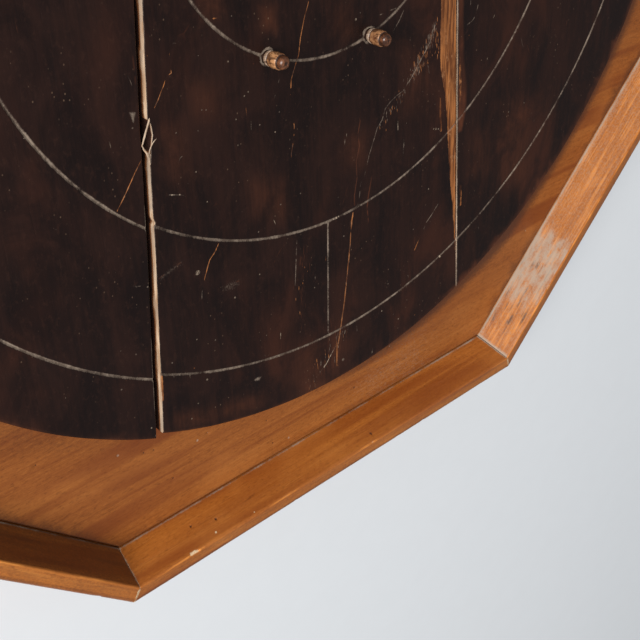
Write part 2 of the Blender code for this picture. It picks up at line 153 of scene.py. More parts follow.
# --------------------------------------------------------------- mesh helpers
def finish_mesh(name, verts, faces, materials, slots=None, layers=None,
                sharp=55.0, body="root", node=None, smooth=True):
    """Object from millimetre vertices, with its point layers and materials."""
    mesh = bpy.data.meshes.new(name)
    verts = np.asarray(verts, float) / 1000.0
    mesh.from_pydata([tuple(v) for v in verts], [], [tuple(int(i) for i in f) for f in faces])
    mesh.validate(clean_customdata=False)
    for mat in materials:
        mesh.materials.append(mat)
    if slots is not None and len(slots) == len(mesh.polygons):
        mesh.polygons.foreach_set("material_index", np.asarray(slots, np.int32))
    for key, values in (layers or {}).items():
        values = np.asarray(values, np.float32)
        if values.ndim == 2:
            layer = mesh.attributes.new(key, "FLOAT_VECTOR", "POINT")
            layer.data.foreach_set("vector", values.reshape(-1))
        else:
            layer = mesh.attributes.new(key, "FLOAT", "POINT")
            layer.data.foreach_set("value", values)
    if smooth:
        mesh.shade_smooth()
        mesh.set_sharp_from_angle(angle=math.radians(sharp))
    mesh.update()
    obj = bpy.data.objects.new(name, mesh)
    bpy.context.scene.collection.objects.link(obj)
    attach(obj, body)
    if node is not None:
        nodes = (node,) if isinstance(node, str) else node
        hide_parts(*nodes)
    return obj


def distance_to(points, line):
    """Distance of points from a polyline, side of it, and how far along."""
    best = np.full(len(points), 1e9)
    side = np.zeros(len(points))
    along = np.zeros(len(points))
    total = 0.0
    for (ax, ay), (bx, by) in zip(line, line[1:]):
        dx, dy = bx - ax, by - ay
        length = math.hypot(dx, dy)
        if length < 1e-6:
            continue
        px, py = points[:, 0] - ax, points[:, 1] - ay
        t = np.clip((px * dx + py * dy) / length ** 2, 0, 1)
        ex, ey = px - t * dx, py - t * dy
        d = np.hypot(ex, ey)
        near = d < best
        best[near] = d[near]
        side[near] = np.sign(dx * py - dy * px)[near]
        along[near] = (total + t * length)[near]
        total += length
    return best, side, along, total


def inside(points, loops):
    """Even-odd test of points against closed loops."""
    hit = np.zeros(len(points), bool)
    x, y = points[:, 0], points[:, 1]
    for loop in loops:
        loop = np.asarray(loop)
        nxt = np.roll(loop, -1, axis=0)
        for (ax, ay), (bx, by) in zip(loop, nxt):
            if ay == by:
                continue
            crosses = (ay > y) != (by > y)
            if not crosses.any():
                continue
            at = ax + (y - ay) * (bx - ax) / (by - ay)
            hit ^= crosses & (x < at)
    return hit


def resample(line, gap, closed=False):
    """Points at about equal gaps along a polyline."""
    pts = list(line) + ([line[0]] if closed else [])
    out = []
    carry = 0.0
    for (ax, ay), (bx, by) in zip(pts, pts[1:]):
        length = math.hypot(bx - ax, by - ay)
        n = max(1, int(round(length / gap)))
        for k in range(n):
            t = k / n
            out.append((ax + (bx - ax) * t, ay + (by - ay) * t))
    if not closed:
        out.append(tuple(line[-1]))
    return out


def offset_line(line, amount):
    """Open polyline moved sideways."""
    pts = np.asarray(line, float)
    d = np.gradient(pts, axis=0)
    n = np.stack([-d[:, 1], d[:, 0]], 1)
    n /= np.maximum(np.hypot(n[:, 0], n[:, 1])[:, None], 1e-9)
    amount = np.asarray(amount, float)
    return pts + n * (amount[:, None] if amount.ndim else amount)


def offset_loop(loop, amount):
    """Closed loop moved inward (it runs counter-clockwise)."""
    pts = np.asarray(loop, float)
    before, after = np.roll(pts, 1, 0), np.roll(pts, -1, 0)
    d0, d1 = pts - before, after - pts
    d0 /= np.maximum(np.hypot(d0[:, 0], d0[:, 1])[:, None], 1e-9)
    d1 /= np.maximum(np.hypot(d1[:, 0], d1[:, 1])[:, None], 1e-9)
    n0 = np.stack([-d0[:, 1], d0[:, 0]], 1)
    n1 = np.stack([-d1[:, 1], d1[:, 0]], 1)
    m = n0 + n1
    m /= np.maximum((m * m).sum(1)[:, None] / 2.0, 0.35)
    return pts + m * amount


def triangulate(loops, lines, fill):
    """Flat triangles inside the loops, with every line kept as edges."""
    pts, edges, starts = [], [], []

    def add(line, closed):
        start, n = len(pts), len(line)
        pts.extend((float(p[0]), float(p[1])) for p in line)
        edges.extend((start + i, start + i + 1) for i in range(n - 1))
        if closed:
            edges.append((start + n - 1, start))
        return start

    for loop in loops:
        starts.append(add(loop, True))
    for line, closed in lines:
        if len(line) > 1:
            add(line, closed)
    pts.extend((float(p[0]), float(p[1])) for p in fill)
    out = delaunay_2d_cdt([Vector(p) for p in pts], edges, [], 0, 1e-5)
    verts = np.array([(v[0], v[1]) for v in out[0]])
    faces = np.array([f[:3] for f in out[2]], np.int64)
    middle = verts[faces].mean(1)
    faces = faces[inside(middle, loops)]
    a, b, c = verts[faces[:, 0]], verts[faces[:, 1]], verts[faces[:, 2]]
    turn = (b[:, 0] - a[:, 0]) * (c[:, 1] - a[:, 1]) - (b[:, 1] - a[:, 1]) * (c[:, 0] - a[:, 0])
    faces[turn < 0] = faces[turn < 0][:, ::-1]
    used = np.unique(faces)
    remap = np.full(len(verts), -1)
    remap[used] = np.arange(len(used))
    origin = {}
    for k, sources in enumerate(out[3]):
        for s in sources:
            origin[s] = int(remap[k])
    return verts[used], remap[faces], origin, starts


def chains(faces):
    """Open edges of a triangle list, chained into loops."""
    a = faces[:, [0, 1, 2]].reshape(-1).astype(np.int64)
    b = faces[:, [1, 2, 0]].reshape(-1).astype(np.int64)
    n = int(faces.max()) + 1
    lone = ~np.isin(a * n + b, b * n + a)
    follow = dict(zip(a[lone].tolist(), b[lone].tolist()))
    loops = []
    while follow:
        start = next(iter(follow))
        loop, at = [start], follow.pop(start)
        while at != start and at in follow:
            loop.append(at)
            at = follow.pop(at)
        loops.append(loop)
    return loops


def area_of(pts):
    x, y = pts[:, 0], pts[:, 1]
    return 0.5 * float(np.sum(x * np.roll(y, -1) - np.roll(x, -1) * y))


class Solid:
    """Vertices and faces of one piece while it is made."""

    def __init__(self):
        self.v, self.f, self.kind, self.count = [], [], [], 0

    def points(self, pts):
        pts = np.asarray(pts, float).reshape(-1, 3)
        start = self.count
        self.v.append(pts)
        self.count += len(pts)
        return start

    def face(self, face, kind):
        self.f.append(face)
        self.kind.append(kind)

    def strip(self, high, low, kind):
        """Quads between two rings of the same length."""
        n = len(high)
        for k in range(n):
            m = (k + 1) % n
            name = kind(k, m) if callable(kind) else kind
            self.face((high[m], high[k], low[k], low[m]), name)

    def verts(self):
        return np.concatenate(self.v)

    def sink(self, ring, pts, hole, kind):
        """Blind hole below a ring: rings scaled about its middle, then a cap."""
        cx, cy, radius, rings = hole
        last = ring
        for size, z in rings:
            new = [((p[0] - cx) * size / radius + cx,
                    (p[1] - cy) * size / radius + cy, z) for p in pts]
            start = self.points(new)
            now = list(range(start, start + len(new)))
            self.strip(last, now, kind)
            last = now
        middle = self.points([(cx, cy, rings[-1][1])])
        for k in range(len(last)):
            self.face((last[(k + 1) % len(last)], last[k], middle), kind)


def slab(top, bottom, levels, blind_top=(), blind_bottom=(), wall_kind=None,
         wall_shift=None):
    """Piece with a top and a bottom made of triangles and walls between."""
    solid = Solid()
    tv, tf, _, _ = triangulate(top["loops"], top.get("lines", ()), top.get("fill", ()))
    solid.points(np.column_stack([tv, top["height"](tv)]))
    for f in tf:
        solid.face(tuple(int(i) for i in f), "top")
    z_top = solid.verts()[:, 2]
    rings, through = [], []
    for loop in chains(tf):
        pts = tv[loop]
        centre = pts.mean(0)
        hole = None
        if area_of(pts) < 0:
            for h in blind_top:
                if math.hypot(centre[0] - h[0], centre[1] - h[1]) < 1.0:
                    hole = h
        if hole is not None:
            solid.sink(loop, pts, hole, "hole")
            continue
        through.append((loop, pts, area_of(pts)))
    through.sort(key=lambda item: -item[2])
    for loop, pts, area in through:
        bz = bottom["height"](pts)
        last = loop
        xy = pts
        for share, inset in levels:
            xy = offset_loop(pts, inset) if area > 0 else offset_loop(pts[::-1], -inset)[::-1]
            if wall_shift is not None and 0 < share < 1:
                xy = xy + wall_shift(pts, share)
            z = z_top[loop] * (1 - share) + bz * share
            start = solid.points(np.column_stack([xy, z]))
            now = list(range(start, start + len(loop)))
            solid.strip(last, now, (lambda k, m, p=pts: wall_kind((p[k] + p[m]) / 2))
                        if wall_kind else "wall")
            last = now
        rings.append((last, xy))
    loops = [xy for _, xy in rings] + list(bottom.get("loops", ()))
    bv, bf, origin, starts = triangulate(loops, bottom.get("lines", ()), bottom.get("fill", ()))
    index = np.full(len(bv), -1)
    for (ring, xy), start in zip(rings, starts):
        for k, v in enumerate(ring):
            index[origin[start + k]] = v
    new = np.where(index < 0)[0]
    start = solid.points(np.column_stack([bv[new], bottom["height"](bv[new])]))
    index[new] = start + np.arange(len(new))
    for f in bf:
        a, b, c = (int(index[i]) for i in f)
        solid.face((a, c, b), "bottom")
    verts = solid.verts()
    outer = {v for ring, _ in rings for v in ring}
    for loop in chains(bf[:, ::-1]):
        ids = [int(index[i]) for i in loop]
        if ids[0] in outer:
            continue
        pts = bv[loop]
        centre = pts.mean(0)
        for h in blind_bottom:
            if math.hypot(centre[0] - h[0], centre[1] - h[1]) < 1.0:
                if callable(h[3]):
                    h[3](solid, ids, pts)
                else:
                    solid.sink(ids, pts, h, "hole")
    return solid, len(tv)


def ring_points(cx, cy, r, n, wobble=0.0, seed=0, phase=0.0):
    a = phase + 2 * math.pi * np.arange(n) / n
    rr = r + wobble * noise(a * n / 9.0 / math.pi * 2, a * 0 + seed, seed)
    return list(zip(cx + rr * np.cos(a), cy + rr * np.sin(a)))


def jittered(x0, x1, y0, y1, gap, seed):
    rng = np.random.RandomState(seed)
    xs, ys = np.meshgrid(np.arange(x0, x1, gap), np.arange(y0, y1, gap * 0.87))
    xs = xs + (np.arange(xs.shape[0]) % 2)[:, None] * gap / 2
    pts = np.column_stack([xs.ravel(), ys.ravel()])
    return pts + rng.uniform(-0.28, 0.28, pts.shape) * gap


# ------------------------------------------------------------------ materials
class Shader:
    """Wires one procedural material."""

    def __init__(self, name):
        self.mat = bpy.data.materials.new(name)
        self.mat.use_nodes = True
        self.tree = self.mat.node_tree
        self.bsdf = self.tree.nodes["Principled BSDF"]

    def new(self, kind, **settings):
        node = self.tree.nodes.new(kind)
        for key, value in settings.items():
            setattr(node, key, value)
        return node

    def put(self, value, socket):
        if isinstance(value, bpy.types.NodeSocket):
            self.tree.links.new(value, socket)
        else:
            if isinstance(value, tuple) and len(value) == 3 and len(socket.default_value) == 4:
                value = (*value, 1.0)
            socket.default_value = value

    def math(self, operation, a, b=None, c=None, clamp=False):
        node = self.new("ShaderNodeMath", operation=operation, use_clamp=clamp)
        for value, socket in zip((a, b, c), node.inputs):
            if value is not None:
                self.put(value, socket)
        return node.outputs[0]

    def attr(self, name, vector=False):
        node = self.new("ShaderNodeAttribute", attribute_name=name)
        return node.outputs["Vector" if vector else "Fac"]

    def scaled(self, vector, scale, shift=(0.0, 0.0, 0.0)):
        node = self.new("ShaderNodeMapping")
        self.put(vector, node.inputs["Vector"])
        self.put(scale, node.inputs["Scale"])
        self.put(shift, node.inputs["Location"])
        return node.outputs[0]

    def noise(self, vector, scale=1.0, detail=2.0, rough=0.5, distortion=0.0):
        node = self.new("ShaderNodeTexNoise")
        self.put(vector, node.inputs["Vector"])
        self.put(float(scale), node.inputs["Scale"])
        self.put(float(detail), node.inputs["Detail"])
        self.put(float(rough), node.inputs["Roughness"])
        self.put(float(distortion), node.inputs["Distortion"])
        return node.outputs["Fac"]

    def cells(self, vector, scale=1.0, feature="F1"):
        node = self.new("ShaderNodeTexVoronoi", feature=feature)
        self.put(vector, node.inputs["Vector"])
        self.put(float(scale), node.inputs["Scale"])
        return node.outputs["Distance"]

    def remap(self, value, a, b, c=0.0, d=1.0):
        node = self.new("ShaderNodeMapRange", clamp=True, interpolation_type="SMOOTHSTEP")
        for v, s in zip((value, a, b, c, d), node.inputs):
            self.put(v, s)
        return node.outputs[0]

    def mix(self, fac, a, b, blend="MIX"):
        node = self.new("ShaderNodeMix", data_type="RGBA", blend_type=blend)
        self.put(fac, node.inputs[0])
        self.put(a, node.inputs[6])
        self.put(b, node.inputs[7])
        return node.outputs[2]

    def bump(self, height, distance, strength=1.0, normal=None):
        node = self.new("ShaderNodeBump")
        self.put(float(strength), node.inputs["Strength"])
        self.put(float(distance), node.inputs["Distance"])
        self.put(height, node.inputs["Height"])
        if normal is not None:
            self.put(normal, node.inputs["Normal"])
        return node.outputs[0]

    def finish(self, colour, rough, normal=None, metallic=0.0, specular=0.5, coat=0.0,
               coat_rough=0.2):
        self.put(colour, self.bsdf.inputs["Base Color"])
        self.put(rough, self.bsdf.inputs["Roughness"])
        self.put(float(metallic), self.bsdf.inputs["Metallic"])
        self.put(float(specular), self.bsdf.inputs["Specular IOR Level"])
        self.put(float(coat), self.bsdf.inputs["Coat Weight"])
        self.put(float(coat_rough), self.bsdf.inputs["Coat Roughness"])
        if normal is not None:
            self.put(normal, self.bsdf.inputs["Normal"])
        return self.mat


def wood_figure(s, grain, band_scale=55.0, fibre_scale=620.0, along=5.0, warp=1.0):
    """Broad bands, fine fibres and pores that run along the grain."""
    wave = s.noise(s.scaled(grain, (along * 0.5, band_scale * 0.35, band_scale * 0.35)),
                   1.0, 2.0, 0.5, warp)
    bands = s.noise(s.scaled(grain, (along, band_scale, band_scale), (3.1, 1.7, 0.4)),
                    1.0, 3.0, 0.6, 0.6 * warp)
    fibres = s.noise(s.scaled(grain, (along * 5.5, fibre_scale, fibre_scale)), 1.0, 3.0, 0.65, 0.3)
    hair = s.noise(s.scaled(grain, (along * 9.0, fibre_scale * 2.3, fibre_scale * 2.3), (7.0, 2.0, 5.0)),
                   1.0, 2.0, 0.6, 0.2)
    pores = s.remap(s.noise(s.scaled(grain, (along * 14.0, fibre_scale * 1.5, fibre_scale * 1.5),
                                     (1.0, 9.0, 4.0)), 1.0, 1.0, 0.5, 0.0), 0.64, 0.74)
    return wave, bands, fibres, hair, pores


def stained_wood(name):
    """Nearly black stain over red-brown wood, with its worn places."""
    s = Shader(name)
    g = s.attr("grain", True)
    wave, bands, fibres, hair, pores = wood_figure(s, g, 40.0, 420.0, 5.0, 0.8)
    mottle = s.noise(s.scaled(g, (20.0, 34.0, 34.0), (2.0, 5.0, 1.0)), 1.0, 5.0, 0.62, 0.8)
    cloud = s.noise(s.scaled(g, (8.0, 13.0, 13.0), (6.0, 3.0, 1.0)), 1.0, 3.0, 0.55, 0.5)
    blotch = s.noise(s.scaled(g, (210.0, 330.0, 330.0)), 1.0, 4.0, 0.66, 0.4)
    grit = s.noise(s.scaled(g, (900.0, 1100.0, 1100.0)), 1.0, 2.0, 0.6)
    tone = s.math("ADD", s.math("MULTIPLY", bands, 0.28),
                  s.math("ADD", s.math("MULTIPLY", fibres, 0.22), s.math("MULTIPLY", mottle, 0.50)))
    colour = s.mix(s.remap(tone, 0.38, 0.62), (0.0072, 0.0030, 0.0026), (0.0190, 0.0066, 0.0044))
    colour = s.mix(s.math("MULTIPLY", s.remap(blotch, 0.52, 0.74), 0.35), colour, (0.0370, 0.0140, 0.0085))
    reddish = s.math("MULTIPLY", s.remap(cloud, 0.50, 0.70), s.remap(mottle, 0.40, 0.62, 0.3, 1.0))
    colour = s.mix(s.math("MULTIPLY", reddish, 0.46), colour, (0.058, 0.0165, 0.0078))
    # soft places where the stain is thin
    thin = s.math("MULTIPLY", s.attr("wear"), s.math("ADD", 0.35, s.math("MULTIPLY", s.remap(mottle, 0.34, 0.64), 0.85)))
    thin = s.math("MULTIPLY", thin, s.math("ADD", 0.70, s.math("MULTIPLY", s.remap(fibres, 0.34, 0.66), 0.28)), clamp=True)
    colour = s.mix(thin, colour, (0.092, 0.0275, 0.0118))
    streak = s.math("ADD", s.math("MULTIPLY", s.math("SUBTRACT", fibres, 0.5), 1.0),
                    s.math("MULTIPLY", s.math("SUBTRACT", blotch, 0.5), 0.9))
    bare = s.math("ADD", s.attr("bare"), s.math("MULTIPLY", streak, 0.75))
    raw = s.mix(s.remap(fibres, 0.38, 0.62), (0.098, 0.029, 0.0090), (0.390, 0.142, 0.042))
    raw = s.mix(s.math("MULTIPLY", s.remap(mottle, 0.48, 0.64), 0.72), raw, (0.080, 0.025, 0.0090))
    raw = s.mix(s.math("MULTIPLY", s.remap(blotch, 0.56, 0.72), 0.60), raw, (0.400, 0.190, 0.085))
    raw = s.mix(s.remap(hair, 0.60, 0.74), raw, (0.060, 0.021, 0.010))
    bare_mask = s.remap(bare, 0.36, 0.62)
    colour = s.mix(bare_mask, colour, raw)
    # tiny flakes and dust specks of an old surface
    dots = s.remap(s.cells(s.scaled(g, (230.0, 300.0, 300.0)), 1.0), 0.075, 0.140, 1.0, 0.0)
    dots = s.math("MULTIPLY", dots, s.remap(s.noise(s.scaled(g, (31.0, 47.0, 47.0), (9.0, 9.0, 9.0)), 1.0, 3.0, 0.6), 0.50, 0.66))
    colour = s.mix(s.math("MULTIPLY", dots, 0.55), colour, s.mix(grit, (0.060, 0.024, 0.012), (0.260, 0.170, 0.110)))
    dusty = s.math("ADD", s.attr("dust"), s.math("MULTIPLY", s.math("SUBTRACT", grit, 0.5), 0.75))
    dust_tone = s.mix(s.remap(blotch, 0.36, 0.66), (0.112, 0.080, 0.060), (0.240, 0.186, 0.142))
    dust_mask = s.remap(dusty, 0.12, 0.80)
    colour = s.mix(dust_mask, colour, dust_tone)
    pale = s.math("ADD", s.attr("pale"), s.math("MULTIPLY", s.math("SUBTRACT", grit, 0.5), 0.5))
    pale_mask = s.remap(pale, 0.25, 0.80)
    colour = s.mix(pale_mask, colour, s.mix(grit, (0.26, 0.185, 0.125), (0.52, 0.415, 0.31)))
    rough = s.math("ADD", 0.40, s.math("MULTIPLY", s.remap(mottle, 0.35, 0.68), 0.14))
    rough = s.math("ADD", rough, s.math("MULTIPLY", blotch, 0.12))
    rough = s.math("ADD", rough, s.math("MULTIPLY", s.math("MAXIMUM", dust_mask, bare_mask), 0.25), clamp=True)
    height = s.math("ADD", s.math("MULTIPLY", fibres, 0.35), s.math("MULTIPLY", blotch, 0.45))
    height = s.math("SUBTRACT", height, s.math("MULTIPLY", pores, 0.45))
    normal = s.bump(height, 0.00014, 0.55)
    normal = s.bump(mottle, 0.0006, 0.35, normal)
    return s.finish(colour, rough, normal, specular=0.20)


def varnished_wood(name, deep, mid, light, rough=0.36, bump=0.5, specular=0.42,
                   band_scale=42.0, along=4.0, coat=0.0):
    """Orange-brown varnished wood with soft reddish streaks."""
    s = Shader(name)
    g = s.attr("grain", True)
    wave, bands, fibres, hair, pores = wood_figure(s, g, band_scale, 560.0, along, 1.1)
    patch = s.noise(s.scaled(g, (9.0, 16.0, 16.0), (4.0, 1.0, 2.0)), 1.0, 3.0, 0.55, 0.5)
    tone = s.math("ADD", s.math("MULTIPLY", bands, 0.36),
                  s.math("ADD", s.math("MULTIPLY", fibres, 0.34), s.math("MULTIPLY", wave, 0.30)))
    colour = s.mix(s.remap(tone, 0.30, 0.52), deep, mid)
    colour = s.mix(s.remap(tone, 0.48, 0.70), colour, light)
    colour = s.mix(s.math("MULTIPLY", pores, 0.18), colour, tuple(c * 0.42 for c in deep))
    fine = s.noise(s.scaled(g, (330.0, 820.0, 820.0)), 1.0, 3.0, 0.65, 0.3)
    colour = s.mix(s.math("MULTIPLY", s.remap(fine, 0.52, 0.70), 0.46), colour, tuple(c * 0.55 for c in deep))
    colour = s.mix(s.math("MULTIPLY", s.remap(fine, 0.32, 0.47, 1.0, 0.0), 0.22), colour, tuple(c * 1.25 for c in light))
    red = s.noise(s.scaled(g, (3.2, 46.0, 46.0), (7.0, 2.0, 5.0)), 1.0, 2.0, 0.55, 0.9)
    colour = s.mix(s.math("MULTIPLY", s.remap(red, 0.50, 0.66), 0.66), colour, (deep[0] * 0.80, deep[1] * 0.62, deep[2] * 0.70))
    colour = s.mix(s.math("MULTIPLY", s.remap(hair, 0.50, 0.70), 0.22), colour, tuple(c * 0.75 for c in deep))
    colour = s.mix(s.math("MULTIPLY", s.remap(patch, 0.50, 0.72), 0.28), colour, tuple(min(1.0, c * 1.25) for c in light))
    colour = s.mix(s.math("MULTIPLY", s.remap(patch, 0.30, 0.46, 1.0, 0.0), 0.30), colour, deep)
    grit = s.noise(s.scaled(g, (700.0, 900.0, 900.0)), 1.0, 2.0, 0.6)
    speck = s.math("SUBTRACT", grit, 0.5)
    # the dark layer carries real dark streaks and joints and also painted shade: the rails' top band, the lower left
    # rail's face, pin holes, and the disc's shadow on the ditch floor
    dark = s.math("ADD", s.attr("dark"), s.math("MULTIPLY", speck, 0.5))
    colour = s.mix(s.math("MULTIPLY", s.remap(dark, 0.15, 0.85), 0.80), colour, (0.060, 0.020, 0.010))
    # the wear layer carries real wear and also the painted highlight along the rails' arris and painted light over the
    # lower right rail's face
    worn = s.math("ADD", s.attr("wear"), s.math("MULTIPLY", s.math("SUBTRACT", fibres, 0.5), 0.9))
    colour = s.mix(s.remap(worn, 0.30, 0.75), colour, tuple(min(1.0, c * 1.5) for c in light))
    # the dust layer carries real dust and also a painted grey-blue sheen along the rails' foot
    dust_mask = s.remap(s.math("ADD", s.attr("dust"), s.math("MULTIPLY", speck, 0.7)), 0.12, 0.95)
    colour = s.mix(s.math("MULTIPLY", dust_mask, 0.80), colour, (0.42, 0.345, 0.27))
    pale_mask = s.remap(s.math("ADD", s.attr("pale"), s.math("MULTIPLY", speck, 0.5)), 0.28, 0.62)
    colour = s.mix(pale_mask, colour, s.mix(grit, (0.55, 0.36, 0.18), (0.80, 0.66, 0.45)))
    r = s.math("ADD", rough, s.math("MULTIPLY", s.math("SUBTRACT", patch, 0.5), 0.22))
    r = s.math("ADD", r, s.math("MULTIPLY", fibres, 0.10))
    r = s.math("ADD", r, s.math("MULTIPLY", s.math("MAXIMUM", dust_mask, pale_mask), 0.25), clamp=True)
    height = s.math("ADD", s.math("MULTIPLY", fibres, 0.5), s.math("MULTIPLY", hair, 0.35))
    height = s.math("SUBTRACT", height, s.math("MULTIPLY", pores, 0.6))
    normal = s.bump(height, 0.00014, bump)
    normal = s.bump(patch, 0.0008, 0.30, normal)
    return s.finish(colour, r, normal, specular=specular, coat=coat, coat_rough=0.28)


def raw_wood(name, low, high, grey):
    """Unfinished sawn wood, dirty in places."""
    s = Shader(name)
    g = s.attr("grain", True)
    wave, bands, fibres, hair, pores = wood_figure(s, g, 70.0, 480.0, 6.0, 1.0)
    saw = s.noise(s.scaled(g, (300.0, 40.0, 40.0)), 1.0, 2.0, 0.6)
    dirt = s.noise(s.scaled(g, (26.0, 60.0, 60.0), (8.0, 1.0, 3.0)), 1.0, 4.0, 0.65, 0.6)
    colour = s.mix(s.remap(fibres, 0.34, 0.66), low, high)
    colour = s.mix(s.math("MULTIPLY", s.remap(dirt, 0.42, 0.60), 0.75), colour, grey)
    colour = s.mix(s.math("MULTIPLY", s.remap(dirt, 0.60, 0.74), 0.7), colour, tuple(c * 0.35 for c in low))
    colour = s.mix(s.math("MULTIPLY", pores, 0.5), colour, tuple(c * 0.4 for c in low))
    # painted shade: the dark layer turns the seam walls brown, then near black, deep in the gaps
    dark = s.attr("dark")
    colour = s.mix(s.remap(dark, 0.08, 0.50), colour, (0.225, 0.082, 0.025))
    colour = s.mix(s.remap(dark, 0.50, 0.95), colour, (0.028, 0.010, 0.006))
    height = s.math("ADD", s.math("MULTIPLY", fibres, 0.6), s.math("MULTIPLY", saw, 0.6))
    normal = s.bump(height, 0.0003, 0.6)
    rough = s.math("ADD", 0.66, s.math("MULTIPLY", dirt, 0.22), clamp=True)
    return s.finish(colour, rough, normal, specular=0.28)


def turned_wood(name):
    """Glossy varnished peg wood, with painted shade in its grooves."""
    s = Shader(name)
    g = s.attr("grain", True)
    wave, bands, fibres, hair, pores = wood_figure(s, g, 260.0, 1500.0, 40.0, 1.0)
    mottle = s.noise(s.scaled(g, (260.0, 420.0, 420.0)), 1.0, 4.0, 0.62, 0.6)
    dirt = s.noise(s.scaled(g, (150.0, 230.0, 230.0), (3.0, 1.0, 4.0)), 1.0, 4.0, 0.65, 0.8)
    colour = s.mix(s.remap(mottle, 0.38, 0.60), (0.130, 0.044, 0.015), (0.66, 0.33, 0.145))
    colour = s.mix(s.math("MULTIPLY", s.attr("tone"), 0.92), colour, (0.082, 0.024, 0.012))
    colour = s.mix(s.math("MULTIPLY", s.remap(fibres, 0.46, 0.62), 0.35), colour, (0.60, 0.30, 0.13))
    colour = s.mix(s.math("MULTIPLY", pores, 0.6), colour, (0.07, 0.022, 0.010))
    colour = s.mix(s.math("MULTIPLY", s.attr("collar"), 0.80), colour,
                   s.mix(s.remap(mottle, 0.38, 0.62), (0.26, 0.17, 0.11), (0.56, 0.44, 0.34)))
    colour = s.mix(s.math("MULTIPLY", s.attr("knob"), 0.90), colour,
                   s.mix(s.remap(mottle, 0.38, 0.62), (0.022, 0.009, 0.006), (0.140, 0.046, 0.020)))
    colour = s.mix(s.math("MULTIPLY", s.remap(dirt, 0.53, 0.62), 0.80), colour, (0.050, 0.019, 0.010))
    # painted shade: the groove layer darkens the grooves, the neck at the hole and the dimple at the tip
    groove = s.math("ADD", s.attr("groove"), s.math("MULTIPLY", s.math("SUBTRACT", mottle, 0.5), 0.4))
    colour = s.mix(s.remap(groove, 0.25, 0.75), colour, (0.030, 0.012, 0.007))
    rough = s.math("ADD", 0.15, s.math("MULTIPLY", mottle, 0.17))
    rough = s.math("ADD", rough, s.math("MULTIPLY", s.attr("groove"), 0.3), clamp=True)
    height = s.math("SUBTRACT", s.math("MULTIPLY", fibres, 0.6), s.math("MULTIPLY", pores, 0.6))
    normal = s.bump(height, 0.00012, 0.45)
    normal = s.bump(mottle, 0.0003, 0.3, normal)
    return s.finish(colour, rough, normal, specular=0.36, coat=0.12, coat_rough=0.10)


def metal(name, clean, stained, rough, spread=0.18):
    """Handled metal: brushed lines, tarnish and small scratches."""
    s = Shader(name)
    g = s.attr("grain", True)
    tarnish = s.noise(s.scaled(g, (180.0, 220.0, 220.0)), 1.0, 5.0, 0.65, 0.7)
    lines = s.noise(s.scaled(g, (120.0, 4200.0, 900.0)), 1.0, 2.0, 0.5)
    pits = s.noise(s.scaled(g, (1500.0, 1500.0, 1500.0)), 1.0, 3.0, 0.6)
    colour = s.mix(s.remap(tarnish, 0.40, 0.66), clean, stained)
    colour = s.mix(s.math("MULTIPLY", s.remap(pits, 0.60, 0.72), 0.6), colour, tuple(c * 0.3 for c in stained))
    colour = s.mix(s.math("MULTIPLY", s.remap(lines, 0.58, 0.70), 0.35), colour, tuple(min(1.0, c * 1.3) for c in clean))
    r = s.math("ADD", rough, s.math("MULTIPLY", s.remap(tarnish, 0.35, 0.7), spread))
    height = s.math("ADD", s.math("MULTIPLY", lines, 0.4), s.math("MULTIPLY", pits, -0.5))
    return s.finish(colour, r, s.bump(height, 0.00006, 0.5), metallic=0.9)


DISC_WOOD = stained_wood("disc_stained")
SEAM_WOOD = raw_wood("disc_seam_raw", (0.42, 0.245, 0.132), (0.76, 0.56, 0.385), (0.40, 0.32, 0.25))
DITCH_WOOD = varnished_wood("ditch_varnished", (0.190, 0.050, 0.0090), (0.292, 0.089, 0.0165),
                            (0.385, 0.137, 0.030), 0.42, 0.5, 0.34, 40.0, 2.2)
RAIL_WOOD = varnished_wood("rail_varnished", (0.290, 0.080, 0.0100), (0.430, 0.132, 0.0195),
                           (0.540, 0.200, 0.038), 0.32, 0.5, 0.42, 50.0, 2.2, 0.12)
BACK_WOOD = varnished_wood("back_plain", (0.22, 0.095, 0.042), (0.34, 0.165, 0.080),
                           (0.44, 0.245, 0.130), 0.62, 0.8, 0.25, 44.0, 3.5)
BATTEN_WOOD = varnished_wood("batten_plain", (0.19, 0.080, 0.034), (0.31, 0.145, 0.066),
                             (0.42, 0.225, 0.115), 0.60, 0.8, 0.25, 62.0, 4.0)
PEG_WOOD = turned_wood("peg_turned")
STEEL = metal("screw_steel", (0.42, 0.40, 0.37), (0.20, 0.165, 0.135), 0.36)
BRASS = metal("plate_brass", (0.56, 0.42, 0.20), (0.30, 0.20, 0.095), 0.34)
IRON = metal("nail_iron", (0.16, 0.145, 0.135), (0.085, 0.050, 0.032), 0.52)


def grain_layer(verts, along_axis, seed, turn=0.0):
    """Grain position of each vertex in metres: along, across, depth."""
    v = np.asarray(verts, float) / 1000.0
    along = np.asarray(along_axis, float)
    along = along / np.linalg.norm(along)
    across = np.array((-along[1], along[0], 0.0))
    out = np.column_stack([v @ along, v @ across, v[:, 2]])
    rng = np.random.RandomState(seed)
    return out + rng.uniform(1.0, 9.0, 3)


